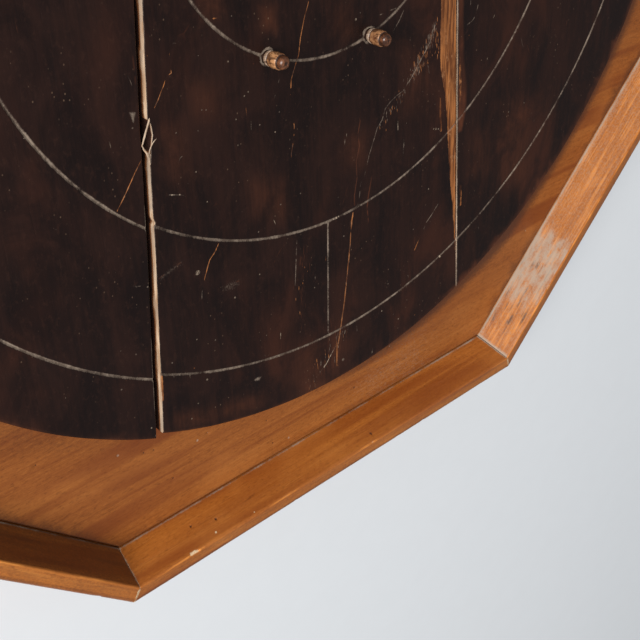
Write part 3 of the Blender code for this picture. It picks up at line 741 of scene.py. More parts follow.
# ------------------------------------------------------------ playing surface
# Marks on the playing surface: layer, half width, depth, how broken up it is,
# and its picture points, which seen() puts on the surface.
MARKS = [
    ("tan", 0.26, 0.10, 0.10, [(309.2, 0), (304.3, 17.8), (300.3, 38.9), (298.6, 55.1), (295.4, 64.8), (291.3, 79.4), (290.5, 94.8)]),
    ("tan", 0.24, 0.08, 0.44, [(295.4, 103.7), (292.2, 111.8), (294.3, 126.4), (293.8, 139.4), (291.3, 154), (291.7, 165)]),
    ("dust", 0.26, 0.08, 0.40, [(398.3, 7.3), (387.8, 11.3), (378.9, 15.4)]),
    ("dust", 0.26, 0.08, 0.35, [(404, 9.7), (399.1, 21), (393.5, 30.8)]),
    ("dust", 0.26, 0.12, 0.06, [(436.5, 20), (430.5, 41), (426, 50), (418.5, 64), (412, 77), (408, 82.7), (403.2, 90.8), (396.7, 95.6), (390.2, 102.1), (385.3, 108.6), (382.1, 120), (377.2, 128), (374, 139.4), (369.1, 155.6), (364.3, 176.7)]),
    ("pale", 0.28, 0.08, 0.10, [(397.9, 124.8), (397.9, 130.5)]),
    ("dust", 0.26, 0.08, 0.20, [(404, 142.6), (403.2, 150.7)]),
    ("wear", 0.32, 0.16, 0.15, [(360.2, 120.7), (357.8, 134.5), (359.4, 145.9), (356.2, 162), (357, 178.3), (354.4, 195.4), (354.4, 205.3)]),
    ("tan", 0.46, 0.20, -0.20, [(353.4, 212), (351.6, 220.7), (351.0, 230)]),
    ("tan", 0.40, 0.18, -0.20, [(351.0, 230), (350.2, 243), (347.4, 271.2), (344.6, 299.3), (340.8, 326.6), (338.9, 338.6), (336.8, 348.4), (336.8, 363.8)]),
    ("wear", 0.34, 0.10, 0.25, [(371.2, 180), (368.4, 195.4), (367, 208), (368.4, 220.7)]),
    ("dust", 0.26, 0.08, 0.35, [(360.7, 184), (359.5, 196), (357.9, 205)]),
    ("dust", 0.26, 0.08, 0.05, [(346.5, 132.5), (346.5, 136.5)]),
    ("dust", 0.26, 0.08, 0.05, [(344.8, 140.6), (344.8, 144.6)]),
    ("dust", 0.30, 0.10, 0.25, [(438.6, 203), (432.2, 213.7), (426.6, 222), (423.1, 230.5)]),
    ("bare", 0.34, 0.10, 0.35, [(423.1, 230.5), (419.9, 237.5), (416.8, 244.5), (413.3, 253)]),
    ("dust", 0.28, 0.10, 0.35, [(478.5, 3.2), (475.3, 16.2), (472, 21), (464.8, 26.7)]),
    ("pale", 0.28, 0.08, 0.30, [(495.6, 12.2), (493.1, 18.6)]),
    ("pale", 0.28, 0.08, 0.10, [(487.5, 56.3), (487.0, 60.5)]),
    ("dust", 0.26, 0.08, 0.20, [(521, 38), (523, 47)]),
    ("tan", 0.24, 0.12, 0.02, [(141.4, 159.6), (134.6, 173.3), (131.7, 180), (124.5, 196), (117, 211.4)]),
    ("dust", 0.24, 0.06, 0.30, [(165.5, 45.9), (169.5, 44.2), (173, 43.6)]),
    ("tan", 0.20, 0.06, 0.46, [(169.3, 51.7), (169.9, 64.3), (171.3, 72.9), (166.1, 76.9), (163.8, 85), (161, 91.8), (158, 99.9), (154, 109)]),
    ("bare", 0.34, 0.08, 0.10, [(211.5, 18.9), (217.8, 17.8)]),
    ("wear", 0.34, 0.08, 0.20, [(187.4, 27.6), (183.9, 33.3)]),
    ("bare", 0.32, 0.10, 0.10, [(245.9, 105.6), (246.5, 113.6)]),
    ("pale", 0.26, 0.08, 0.15, [(251.1, 124.6), (251.4, 132.6)]),
    ("dust", 0.26, 0.08, 0.15, [(179.9, 158.4), (183.7, 155)]),
    ("tan", 0.26, 0.10, 0.10, [(218.7, 243.5), (214.9, 252), (209.5, 260.3)]),
    ("tan", 0.30, 0.10, 0.05, [(209.5, 260.3), (206.8, 270), (204.6, 278.7)]),
    ("dust", 0.28, 0.10, 0.15, [(201.9, 292.5), (201.9, 298.6)]),
    ("pale", 0.26, 0.08, 0.20, [(273, 218.3), (275.3, 223.6)]),
    ("pale", 0.26, 0.08, 0.40, [(300.6, 247.3), (300.4, 256), (300.1, 265.7)]),
    ("bare", 0.30, 0.08, 0.15, [(304.4, 266), (304.4, 271)]),
    ("dust", 0.26, 0.08, 0.10, [(315.1, 276), (315.1, 280)]),
    ("dust", 0.26, 0.10, 0.30, [(296.8, 241), (296.0, 262), (295.2, 285.6)]),
    ("pale", 0.26, 0.08, 0.25, [(280.7, 331.5), (280.7, 340)]),
    ("pale", 0.24, 0.06, 0.30, [(264.6, 354.5), (266.2, 359)]),
    ("pale", 0.34, 0.12, 0.20, [(335.4, 346.3), (330.8, 355), (326.3, 363.8), (320, 372.2)]),
    ("pale", 0.30, 0.10, 0.20, [(345.3, 328.7), (343.9, 338.5)]),
    ("pale", 0.28, 0.08, 0.25, [(372.6, 348.4), (371.6, 355.4)]),
    ("dust", 0.24, 0.06, 0.30, [(402, 271), (404, 275.5)]),
    ("dust", 0.24, 0.06, 0.30, [(407, 273.5), (409, 278)]),
    ("dust", 0.26, 0.06, 0.62, [(154, 195.4), (168, 194.8), (182, 195)]),
    ("bare", 0.30, 0.08, 0.40, [(325.8, 256), (325.9, 264), (325.6, 274)]),
    ("dust", 0.22, 0.06, 0.40, [(137.5, 286.5), (143.5, 285.8)]),
    ("wear", 0.40, 0.06, 0.45, [(132.9, 57), (133.6, 63.5), (135, 75), (135.5, 83)]),
    ("wear", 0.38, 0.06, 0.45, [(159, 278.7), (169, 271), (180.5, 262.6)]),
    ("wear", 0.38, 0.06, 0.50, [(223, 288.7), (231, 284), (238.6, 281)]),
    ("dust", 0.22, 0.06, 0.25, [(174, 375.5), (174, 379)]),
    ("dust", 0.22, 0.06, 0.25, [(190, 373.5), (190, 377)]),
    ("pale", 0.26, 0.06, 0.30, [(109.5, 142), (110.4, 146), (111, 150)]),
]

# Bands of short dashes where the stain has flaked along the grain.
FLAKES = [
    ("dust", 70, 5.0, 2.8, [(435.6, 25.1), (429.9, 42), (426.7, 48.6), (417.8, 64.8), (415.3, 71.3), (412.1, 77)]),
    ("tan", 80, 5.5, 2.6, [(435.6, 25.1), (429.9, 42), (426.7, 48.6), (417.8, 64.8), (412.1, 77)]),
    ("tan", 34, 3.5, 2.4, [(437.2, 30.8), (438, 51.9), (425.9, 62.4), (419.4, 69.7)]),
    ("dust", 22, 3.5, 2.6, [(403, 92), (393.5, 107), (387, 116.7), (380.5, 126.4)]),
    ("tan", 22, 6.0, 1.9, [(403, 92), (393.5, 107), (387, 116.7), (380.5, 126.4)]),
    ("dust", 26, 11.0, 3.8, [(345, 330), (334, 348), (324, 366), (312, 382)]),
    ("tan", 22, 13.0, 4.2, [(340, 330), (330, 350), (318, 372), (308, 386)]),
    ("tan", 9, 6.0, 2.4, [(303, 255), (302, 285), (300, 330)]),
    ("wear", 22, 7.0, 4.0, [(303, 250), (302, 285), (300, 335)]),
    ("wear", 26, 16.0, 8.0, [(345, 325), (330, 350), (314, 380)]),
]

# Small dents and chips: picture point, radius in mm, layer.
DOTS = [
    (355.9, 19.4, 0.75, "pale"), (244.4, 95.9, 0.5, "pale"), (248.2, 91.8, 0.45, "pale"),
    (236.1, 119.4, 0.45, "pale"), (259.7, 124.9, 0.5, "dust"), (275.2, 132, 0.5, "pale"),
    (279.2, 111.9, 0.5, "dust"), (176.1, 132.9, 0.45, "dust"), (196, 172, 0.55, "pale"),
    (237.9, 145.2, 0.5, "dust"), (201.7, 109.9, 0.45, "dust"), (206, 109.9, 0.4, "dust"),
    (228.1, 61.4, 0.5, "pale"), (211.4, 186.4, 0.6, "bare"), (207.2, 201.7, 0.5, "pale"),
    (172, 195, 0.55, "pale"), (179.7, 194.7, 0.5, "pale"), (300.6, 193.5, 0.5, "pale"),
    (280.7, 204.5, 0.5, "dust"), (258.5, 232, 0.5, "dust"), (197.7, 272.7, 1.65, "pale"),
    (259.7, 274.4, 0.55, "pale"), (314.4, 287.6, 0.5, "pale"), (235.1, 297.5, 0.7, "pale"),
    (147.6, 287, 0.6, "pale"), (196.8, 339.5, 0.5, "pale"), (215.4, 340, 0.5, "dust"),
    (194.2, 368.2, 0.6, "bare"), (207.2, 379.7, 0.8, "pale"), (198.5, 403.4, 0.55, "pale"),
    (192, 418.7, 0.55, "pale"), (172.3, 362.9, 0.5, "dust"), (136, 354.5, 0.5, "dust"),
    (121.5, 389.7, 0.55, "dust"), (151.5, 428, 0.6, "pale"), (156, 435.5, 0.6, "dust"),
    (167, 434.5, 0.5, "pale"), (428.5, 189, 0.55, "pale"), (413.3, 229.4, 0.5, "dust"),
    (343.9, 236, 0.5, "dust"), (388, 283.8, 0.5, "dust"), (381.7, 311, 0.6, "pale"),
    (398.3, 318.9, 0.6, "pale"), (414.7, 314.7, 0.6, "bare"), (523.9, 102.9, 0.5, "dust"),
    (508.5, 111.8, 0.5, "dust"), (336.8, 217.9, 0.7, "pale"), (339.0, 216.6, 0.5, "pale"),
    (333.8, 219.4, 0.5, "pale"), (440, 256.5, 0.9, "pale"), (343.0, 359.5, 1.1, "dust"),
    (132.4, 128.0, 0.5, "dust"), (436.0, 128.8, 0.8, "pale"), (433.6, 128.9, 0.6, "pale"),
    (438.4, 128.7, 0.6, "pale"),
]

# Larger places: layer, strength, softness in mm, picture outline.
PATCHES = [
    ("bare", 0.90, 1.4, [(455.4, -125), (448.5, -78), (442.5, -38), (441.2, -12), (440.8, 20), (440.7, 60), (442.0, 80), (445.3, 98), (447.7, 130), (448.6, 160), (449.9, 180), (450.8, 190), (452.4, 205), (454.0, 228), (454.9, 250), (455.9, 250), (455.9, 180), (456.2, 60), (456.4, -12), (456.8, -125)]),
    ("wear", 1.20, 1.3, [(458.0, -12), (458.0, 60), (458.4, 110), (458.6, 132), (461.5, 130), (465.4, 110), (466.2, 85), (463.6, 60), (463.0, 20), (463.2, -12), (461.6, -60), (458.4, -95)]),
    ("bare", 0.38, 1.0, [(458.6, 4), (458.6, 60), (459.0, 110), (459.2, 128), (461.0, 126), (463.0, 108), (462.4, 75), (461.2, 60), (461.0, 20), (461.0, 4)]),
    ("bare", 0.70, 0.7, [(439.7, 97), (439.5, 116), (440.1, 132), (441.9, 131), (442.0, 112), (441.3, 98)]),
    ("bare", 0.60, 0.7, [(459.4, 183), (459.2, 195), (459.4, 207), (461.6, 205), (461.8, 194), (461.4, 184)]),
    ("dust", 0.72, 0.9, [(129.4, 112.5), (135.5, 112.3), (133.4, 122.8)]),
    ("dust", 0.66, 0.8, [(254.0, 380.2), (257.0, 377.6), (261.6, 376.4), (259.8, 380.0), (256.6, 381.2)]),
    ("bare", 0.70, 0.8, [(158.6, 374), (160.6, 386), (161.0, 400), (163.6, 400), (163.4, 386), (162.4, 374)]),
    ("wear", 0.34, 12.0, [(300, 345), (318, 334), (342, 326), (349, 346), (338, 374), (316, 386), (302, 382), (298, 362)]),
    ("wear", 0.66, 7.0, [(176, 418), (232, 406), (262, 396), (262, 404), (226, 417), (180, 427)]),
    ("dust", 0.30, 1.8, [(159.5, 277.5), (170, 269), (181, 261.5), (182.5, 264), (171, 272.5), (161, 280.5)]),
    ("dust", 0.27, 2.0, [(222, 287), (232, 281), (240, 279), (240, 285), (230, 291), (223, 291)]),
    ("wear", 0.30, 9.0, [(330, 4), (350, 0), (352, 30), (334, 34)]),
    ("wear", 0.26, 10.0, [(400, 40), (425, 40), (428, 110), (404, 112)]),
    ("wear", 0.30, 10.0, [(470, 140), (486, 130), (488, 170), (472, 178)]),
    ("wear", 0.55, 8.0, [(202, 0), (216, -4), (220, 10), (206, 14)]),
    ("wear", 0.75, 6.0, [(262, 8), (273, 12), (274, 27), (263, 28)]),
    ("wear", 0.40, 12.0, [(194, 88), (213, 92), (214, 110), (198, 112)]),
    ("wear", 0.34, 12.0, [(163, 128), (179, 126), (186, 176), (170, 180)]),
    ("wear", 0.42, 12.0, [(254, 186), (284, 186), (284, 214), (258, 214)]),
    ("wear", 0.36, 10.0, [(347, 138), (364, 138), (364, 164), (348, 164)]),
    ("wear", 0.40, 14.0, [(498, 104), (526, 104), (524, 184), (500, 184)]),
    ("wear", 0.50, 8.0, [(302, 380), (330, 378), (324, 392), (300, 394)]),
]


def flake_marks():
    """Short strokes along the grain, scattered beside a picture path."""
    rng = random.Random(11)
    marks = []
    for layer, count, spread, length, path in FLAKES:
        line = resample([seen(*p) for p in path], 1.0)
        for _ in range(count):
            x, y = line[rng.randrange(len(line))]
            x += rng.gauss(0.0, spread * 0.42)
            y += rng.gauss(0.0, spread * 0.30)
            half = length * rng.uniform(0.25, 0.65)
            lean = rng.uniform(-0.10, 0.10)
            marks.append((layer, rng.uniform(0.13, 0.25), 0.05, rng.uniform(0.0, 0.4),
                          [(x - lean * half, y - half), (x + rng.uniform(-0.1, 0.1), y),
                           (x + lean * half, y + half)]))
    return marks


def fine_marks():
    """Hairline scratches and dents of everyday play all over the surface."""
    rng = random.Random(29)
    marks = []
    for _ in range(120):
        a, r = rng.uniform(0, 2 * math.pi), DISC_R * math.sqrt(rng.uniform(0.01, 0.94))
        x, y = r * math.cos(a), r * math.sin(a)
        turn = rng.gauss(math.pi / 2, 0.5)
        n, length = 4, rng.uniform(3.0, 17.0)
        pts, bend = [(x, y)], rng.gauss(0, 0.10)
        for _ in range(n):
            turn += bend
            px, py = pts[-1]
            pts.append((px + length / n * math.cos(turn), py + length / n * math.sin(turn)))
        marks.append((rng.choice(("dust", "wear", "wear", "wear")), rng.uniform(0.09, 0.14),
                      0.03, rng.uniform(0.45, 0.8), pts))
    return marks


def fine_dots():
    rng = random.Random(41)
    dots = []
    for _ in range(150):
        a, r = rng.uniform(0, 2 * math.pi), DISC_R * math.sqrt(rng.uniform(0.0, 0.96))
        dots.append((r * math.cos(a), r * math.sin(a), rng.uniform(0.14, 0.30),
                     rng.choice(("dust", "wear", "bare", "dust", "dust"))))
    return dots


ALL_MARKS = [(m[0], m[1], m[2], m[3], resample([seen(*p) for p in m[4]], 1.3)) for m in MARKS]
ALL_MARKS += [(m[0], m[1], m[2], m[3], resample(m[4], 1.4)) for m in flake_marks()]
ALL_MARKS += [(m[0], m[1], m[2], m[3], resample(m[4], 1.8)) for m in fine_marks()]
ALL_DOTS = [(*seen(px, py), r * 0.82, layer) for px, py, r, layer in DOTS] + fine_dots()
ALL_PATCHES = [(layer, strength, soft, resample([seen(*p) for p in outline], 2.0, True))
               for layer, strength, soft, outline in PATCHES]


def seam_x(side, y):
    return (-108.6 + 0.0858 * y) if side == "left" else (94.3 - 0.0581 * y)


# Places where the centre plank's edge at the open seam is chipped back.
_chip = [seen(px, py) for px, py in ((148.9, 120.6), (150.6, 125), (152.4, 135.5),
                                     (151.4, 144.7), (151.2, 160.7), (149.8, 165))]
CHIP_Y = [p[1] for p in _chip][::-1]
CHIP_X = [p[0] for p in _chip][::-1]
_notch = [seen(px, py)[1] for px, py in ((151.5, 219), (153, 224), (153, 229))][::-1]


BOW_Y = [seen(150, py)[1] for py in (250, 205, 160, 110, 0)]


def edge_x(which, y):
    """Edge of a plank at a seam: left_right is the left plank's right edge."""
    y = np.asarray(y, float)
    if which == "left_right":
        bow = np.interp(y, BOW_Y, [0.0, -0.15, -0.45, -0.75, -0.65])
        return seam_x("left", y) - 3.8 + bow + 0.16 * rough_noise(y / 21.0, y * 0 + 1.0, 5)
    if which == "centre_left":
        bow = np.interp(y, BOW_Y, [0.0, -0.55, -0.85, -1.25, -1.0])
        x = seam_x("left", y) + 1.0 + bow + 0.13 * rough_noise(y / 17.0, y * 0 + 2.0, 9)
        chip = np.interp(y, CHIP_Y, np.asarray(CHIP_X), left=-1e3, right=-1e3)
        x = np.maximum(x, np.minimum(chip, x + 2.4))
        return x + 0.9 * np.exp(-((y - _notch[1]) / 1.5) ** 2)
    if which == "centre_right":
        return seam_x("right", y) - 0.4 + 0.07 * rough_noise(y / 25.0, y * 0 + 3.0, 21)
    return seam_x("right", y) + 0.4 + 0.07 * rough_noise(y / 23.0, y * 0 + 4.0, 33)


def rim_r(a):
    return DISC_R - 0.18 + 0.14 * rough_noise(np.asarray(a) * 9.0, np.asarray(a) * 0 + 8.0, 77)


class Plank:
    def __init__(self, side):
        self.side = side
        self.slip = LEFT_SLIP if side == "left" else 0.0
        self.low = None if side == "left" else ("centre_left" if side == "centre" else "right_left")
        self.high = None if side == "right" else ("left_right" if side == "left" else "centre_right")

    def rim(self, pts):
        """Distance inward from the round edge."""
        x, y = pts[:, 0], pts[:, 1] - self.slip
        return rim_r(np.arctan2(y, x)) - np.hypot(x, y)

    def seam(self, pts):
        """Distance inward from the nearer seam."""
        out = np.full(len(pts), 1e3)
        if self.low:
            out = np.minimum(out, pts[:, 0] - edge_x(self.low, pts[:, 1]))
        if self.high:
            out = np.minimum(out, edge_x(self.high, pts[:, 1]) - pts[:, 0])
        return out

    def seam_soft(self, pts):
        """Radius of the worn arris at the seams."""
        y = pts[:, 1]
        base = 0.55 if self.side == "left" else 0.32
        return np.maximum(0.18, base * (1.0 + 0.5 * rough_noise(y / 14.0, y * 0, 51)))

    def meet(self, which, upper):
        """Where a seam edge meets the round edge, by halving."""
        lo, hi = (0.0, 330.0) if upper else (-330.0, 0.0)
        for _ in range(50):
            mid = (lo + hi) / 2
            x = float(edge_x(which, mid))
            outside = self.rim(np.array([(x, mid)]))[0] < 0
            if upper:
                lo, hi = (lo, mid) if outside else (mid, hi)
            else:
                lo, hi = (mid, hi) if outside else (lo, mid)
        return float(edge_x(which, lo if upper else hi)), (lo if upper else hi)

    def outline(self):
        """Counter-clockwise boundary."""
        def arc(p, q, gap):
            a0 = math.atan2(p[1] - self.slip, p[0])
            a1 = math.atan2(q[1] - self.slip, q[0])
            while a1 <= a0:
                a1 += 2 * math.pi
            n = int((a1 - a0) * DISC_R / gap)
            a = np.linspace(a0, a1, n + 1)[1:-1]
            r = rim_r(np.arctan2(np.sin(a), np.cos(a)))
            return list(zip(r * np.cos(a), r * np.sin(a) + self.slip))

        def edge(which, p, q):
            n = max(2, int(abs(q[1] - p[1]) / 1.5))
            y = np.linspace(p[1], q[1], n + 1)
            extra = [v for v in CHIP_Y + _notch if min(p[1], q[1]) < v < max(p[1], q[1])] \
                if which == "centre_left" else []
            y = np.unique(np.concatenate([y, extra]))
            if q[1] < p[1]:
                y = y[::-1]
            return list(zip(edge_x(which, y), y))

        gap = 3.0
        loop = []
        if self.side == "left":
            top, low = self.meet(self.high, True), self.meet(self.high, False)
            loop = edge(self.high, low, top) + arc(top, low, gap)
        elif self.side == "right":
            top, low = self.meet(self.low, True), self.meet(self.low, False)
            loop = edge(self.low, top, low) + arc(low, top, gap)
        else:
            ht, hl = self.meet(self.high, True), self.meet(self.high, False)
            lt, ll = self.meet(self.low, True), self.meet(self.low, False)
            loop = edge(self.high, hl, ht) + arc(ht, lt, gap) + edge(self.low, lt, ll) + arc(ll, hl, gap)
        return [(float(x), float(y)) for x, y in loop]

    def contains(self, pts, margin):
        pts = np.asarray(pts, float)
        return (self.rim(pts) > margin) & (self.seam(pts) > margin)


def groove_half(a, k):
    """Half width of a scribed circle along its length."""
    n = rough_noise(np.asarray(a) * CIRCLES[k] / 7.0, np.asarray(a) * 0 + k, 61 + k)
    return 1.02 + 0.20 * n


def top_detail(plank, pts):
    """Height above the playing surface and the layers of each point."""
    x, y = pts[:, 0], pts[:, 1]
    n = len(pts)
    height = 0.10 * noise(x / 95.0, y / 160.0, 3) + 0.035 * noise(x / 22.0, y / 60.0, 4)
    layers = {"dust": np.zeros(n), "bare": np.zeros(n), "pale": np.zeros(n), "wear": np.zeros(n)}
    rim, seam = plank.rim(pts), plank.seam(pts)
    radius = 1.25 + 0.35 * rough_noise(np.arctan2(y, x) * 14.0, x * 0, 15)
    f = np.clip(rim / radius, 0, 1)
    drop = radius * (1 - np.sqrt(np.maximum(0, 1 - (1 - f) ** 2)))
    soft = plank.seam_soft(pts)
    f = np.clip(seam / soft, 0, 1)
    drop = np.maximum(drop, soft * (1 - np.sqrt(np.maximum(0, 1 - (1 - f) ** 2))))
    height = height - drop
    # worn edges
    right = step(x, 40.0, 150.0)
    layers["wear"] += step(rim, 3.0 + 2.5 * right, 0.1) * (0.45 + 0.50 * rough_noise(np.arctan2(y, x) * 26.0, x * 0, 19)) \
        * (1.0 + 0.9 * right)
    if plank.side == "right":
        near = pts[:, 0] - edge_x("right_left", y)
        layers["dust"] += 0.66 * step(near, 0.75, 0.20) * (0.8 + 0.3 * rough_noise(y / 9.0, y * 0, 43))
    if plank.side == "left":
        _, y_top = seen(139.0, 0)
        y_mid = seen(141.0, 150)[1]
        wide = np.interp(y, [-320, seen(155, 420)[1], seen(151, 300)[1], y_mid - 8, y_mid + 6, y_top, 320],
                         [0.20, 0.35, 0.25, 0.3, 0.55, 0.5, 0.4])
        wide = wide * (1 + 0.35 * rough_noise(y / 11.0, y * 0, 27))
        layers["wear"] += 0.75 * step(seam, wide, wide * 0.35)
        for a, b, amount in ((205, 230, 0.8), (340, 415, 0.8)):
            ya, yb = seen(148, b)[1], seen(148, a)[1]
            band = step(y, ya - 3, ya + 3) * step(y, yb + 3, yb - 3)
            layers["dust"] += amount * band * step(seam, 0.75, 0.25)
    if plank.side == "centre":
        near = pts[:, 0] - edge_x("centre_left", y)
        layers["dust"] += 0.55 * step(near, 0.45, 0.12) * (0.7 + 0.6 * rough_noise(y / 8.0, y * 0, 37))
        ya, yb = seen(161, 402)[1], seen(161, 374)[1]
        layers["bare"] += 0.9 * step(y, ya - 2, ya + 2) * step(y, yb + 2, yb - 2) * step(near, 1.1, 0.3)
    # scribed circles
    r = np.hypot(x, y - plank.slip)
    a = np.arctan2(y - plank.slip, x)
    for k, radius in enumerate(CIRCLES):
        half = groove_half(a, k)
        s = np.abs(r - radius) / half
        inside_groove = np.clip(1 - s, 0, 1)
        height -= 0.62 * inside_groove ** 0.8
        broken = 0.62 + 0.46 * rough_noise(a * radius / 6.5, a * 0 + k, 83 + k)
        layers["dust"] += np.clip(broken, 0.16, 0.86) * step(s, 1.22, 0.35)
    for angle in QUADRANTS:
        t = math.radians(angle - 90.0)
        c, q = math.cos(t), math.sin(t)
        along, side = x * c + y * q, -x * q + y * c
        half = 0.86 + 0.16 * rough_noise(along / 6.0, along * 0, 111)
        s = np.abs(side) / half
        run = step(along, CIRCLES[1] - 1.0, CIRCLES[1] + 0.5) * step(along, CIRCLES[2] + 1.0, CIRCLES[2] - 0.5)
        height -= 0.5 * np.clip(1 - s, 0, 1) ** 0.8 * run
        layers["dust"] += run * step(s, 1.22, 0.4) * np.clip(0.66 + 0.45 * rough_noise(along / 5.0, along * 0, 113), 0.1, 1)
    # peg holes and the hole at the centre
    for k in range(8):
        px, py = peg_xy(k)
        d = np.hypot(x - px, y - py)
        near = d < 8.0
        if not near.any():
            continue
        t = np.arctan2(y - py, x - px)
        outer = 5.0 + 0.45 * noise(t * 1.9, t * 0 + k, 131) + 0.25 * noise(t * 4.3, t * 0 + k, 133)
        ring = np.where(near, step(d, outer + 0.25, outer - 0.25), 0.0)
        height -= 0.30 * ring * (0.75 + 0.25 * noise(x * 1.6, y * 1.6, 137))
        # dust in the ring round each peg hole, paler on the side facing the light as painted light
        light = 0.95 + 0.45 * noise(x * 0.9, y * 0.9, 139)
        lit = 0.60 + 0.40 * np.cos(t - math.radians(140.0))
        layers["dust"] += ring * np.clip(light * lit, 0.1, 1.1)
        layers["pale"] += ring * step(noise(x * 1.3, y * 1.3, 141), 0.15, 0.55) * 0.55 * lit
    d = np.hypot(x, y)
    height -= 0.8 * step(d, CENTRE_HOLE_R + 0.9, CENTRE_HOLE_R) ** 1.5
    layers["wear"] += 0.5 * step(d, CENTRE_HOLE_R + 1.3, CENTRE_HOLE_R)
    # marks
    low, high = pts.min(0) - 2, pts.max(0) + 2
    for number, (layer, half, depth, broken, line) in enumerate(ALL_MARKS):
        arr = np.asarray(line)
        if (arr.max(0) < low).any() or (arr.min(0) > high).any():
            continue
        box = ((x > arr[:, 0].min() - 1.5) & (x < arr[:, 0].max() + 1.5)
               & (y > arr[:, 1].min() - 1.5) & (y < arr[:, 1].max() + 1.5))
        ids = np.where(box)[0]
        if not len(ids):
            continue
        dist, _, along, total = distance_to(pts[ids], line)
        ends = np.clip(np.minimum(along, total - along) / max(1.0, min(3.0, total * 0.25)), 0.15, 1)
        keep = step(noise(along / 2.6, along * 0 + number, 151) + (1 - 2 * broken) * 0.9, -0.2, 0.15)
        s = dist / half
        height[ids] -= depth * np.clip(1 - s, 0, 1) * ends
        mask = step(s, 1.55, 0.5) * np.maximum(keep * ends ** 0.3, 0.0)
        amount = (0.60 + 0.30 * noise(along / 1.7, along * 0 + number, 153)) if layer != "wear" else 0.8
        if layer == "tan":
            layers["bare"][ids] = np.maximum(layers["bare"][ids], mask * 0.85)
            layers["dust"][ids] = np.maximum(layers["dust"][ids], mask * amount * 0.45)
            continue
        layers[layer][ids] = np.maximum(layers[layer][ids], mask * amount)
    for dx, dy, radius, layer in ALL_DOTS:
        box = (np.abs(x - dx) < radius * 2.2) & (np.abs(y - dy) < radius * 2.2)
        ids = np.where(box)[0]
        if not len(ids):
            continue
        s = np.hypot(x[ids] - dx, y[ids] - dy) / radius
        height[ids] -= 0.16 * np.clip(1 - s, 0, 1)
        layers[layer][ids] = np.maximum(layers[layer][ids], step(s, 1.45, 0.6) * 0.85)
    for layer, strength, softness, outline in ALL_PATCHES:
        arr = np.asarray(outline)
        box = ((x > arr[:, 0].min() - softness * 2) & (x < arr[:, 0].max() + softness * 2)
               & (y > arr[:, 1].min() - softness * 2) & (y < arr[:, 1].max() + softness * 2))
        ids = np.where(box)[0]
        if not len(ids):
            continue
        dist, _, _, _ = distance_to(pts[ids], list(outline) + [outline[0]])
        signed = np.where(inside(pts[ids], [outline]), dist, -dist)
        layers[layer][ids] = np.maximum(layers[layer][ids], strength * step(signed, -softness, softness))
    if plank.side == "centre":
        layers["bare"] *= step(edge_x("centre_right", y) - x, 0.45, 1.05)
    return height, layers


def plank_lines(plank):
    """Edges that the triangles of a plank's top follow."""
    lines = []

    def keep(line, closed, margin=0.05):
        """Runs of a line that lie on this plank, a little past its edge."""
        arr = np.asarray(line + ([line[0]] if closed else []), float)
        ok = plank.contains(arr, margin)
        if ok.all():
            lines.append((line, closed))
            return
        run = []
        for p, good in zip(arr, ok):
            if good:
                run.append((float(p[0]), float(p[1])))
            else:
                if len(run) > 1:
                    lines.append((run, False))
                run = []
        if len(run) > 1:
            lines.append((run, False))

    for s in (0.18, 0.45, 0.85, 1.3, 2.0):
        a = np.linspace(-math.pi, math.pi, int(2 * math.pi * DISC_R / 3.4), endpoint=False)
        r = rim_r(a) - s
        keep(list(zip(r * np.cos(a), r * np.sin(a) + plank.slip)), True)
    for which, sign in ((plank.low, 1.0), (plank.high, -1.0)):
        if which:
            y = np.arange(-318.0, 318.0, 1.7)
            for s in (0.09, 0.22, 0.42, 0.8, 1.5):
                keep(list(zip(edge_x(which, y) + sign * s, y)), False)
    for k, radius in enumerate(CIRCLES):
        a = np.linspace(-math.pi, math.pi, int(2 * math.pi * radius / 2.4), endpoint=False)
        half = groove_half(a, k)
        for share in (-1.0, -0.5, 0.0, 0.5, 1.0):
            r = radius + half * share
            keep(list(zip(r * np.cos(a), r * np.sin(a) + plank.slip)), True)
        for extra in (-0.3, 0.3):
            r = radius + half * np.sign(extra) + extra
            keep(list(zip(r * np.cos(a), r * np.sin(a) + plank.slip)), True)
    for angle in QUADRANTS:
        t = math.radians(angle - 90.0)
        along = np.arange(CIRCLES[1] + 1.3, CIRCLES[2] - 1.3, 1.8)
        half = 0.86 + 0.16 * rough_noise(along / 6.0, along * 0, 111)
        for share in (-1.15, -1.0, 0.0, 1.0, 1.15):
            side = half * share
            keep(list(zip(along * math.cos(t) - side * math.sin(t),
                          along * math.sin(t) + side * math.cos(t))), False)
    for layer, half, depth, broken, line in ALL_MARKS:
        for w in (0.0, -half, half, -half * 1.9, half * 1.9):
            moved = offset_line(line, w)
            keep([(float(p[0]), float(p[1])) for p in moved], False)
    for dx, dy, radius, layer in ALL_DOTS:
        keep(ring_points(dx, dy, radius, 7, phase=dx), True)
        keep(ring_points(dx, dy, radius * 1.55, 8, phase=dy), True)
    for layer, strength, softness, outline in ALL_PATCHES:
        keep([(float(p[0]), float(p[1])) for p in outline], True)
        if softness < 3.0:
            for s in (-softness, softness * 0.6):
                keep([(float(p[0]), float(p[1])) for p in offset_loop(outline, s)], True)
    for k in range(8):
        px, py = peg_xy(k)
        for r in (4.05, 4.55, 4.95, 5.3, 5.75):
            keep(ring_points(px, py, r, 26, 0.06, k), True)
    for r in (17.8, 18.2, 18.8):
        keep(ring_points(0, 0, r, 64), True)
    return lines


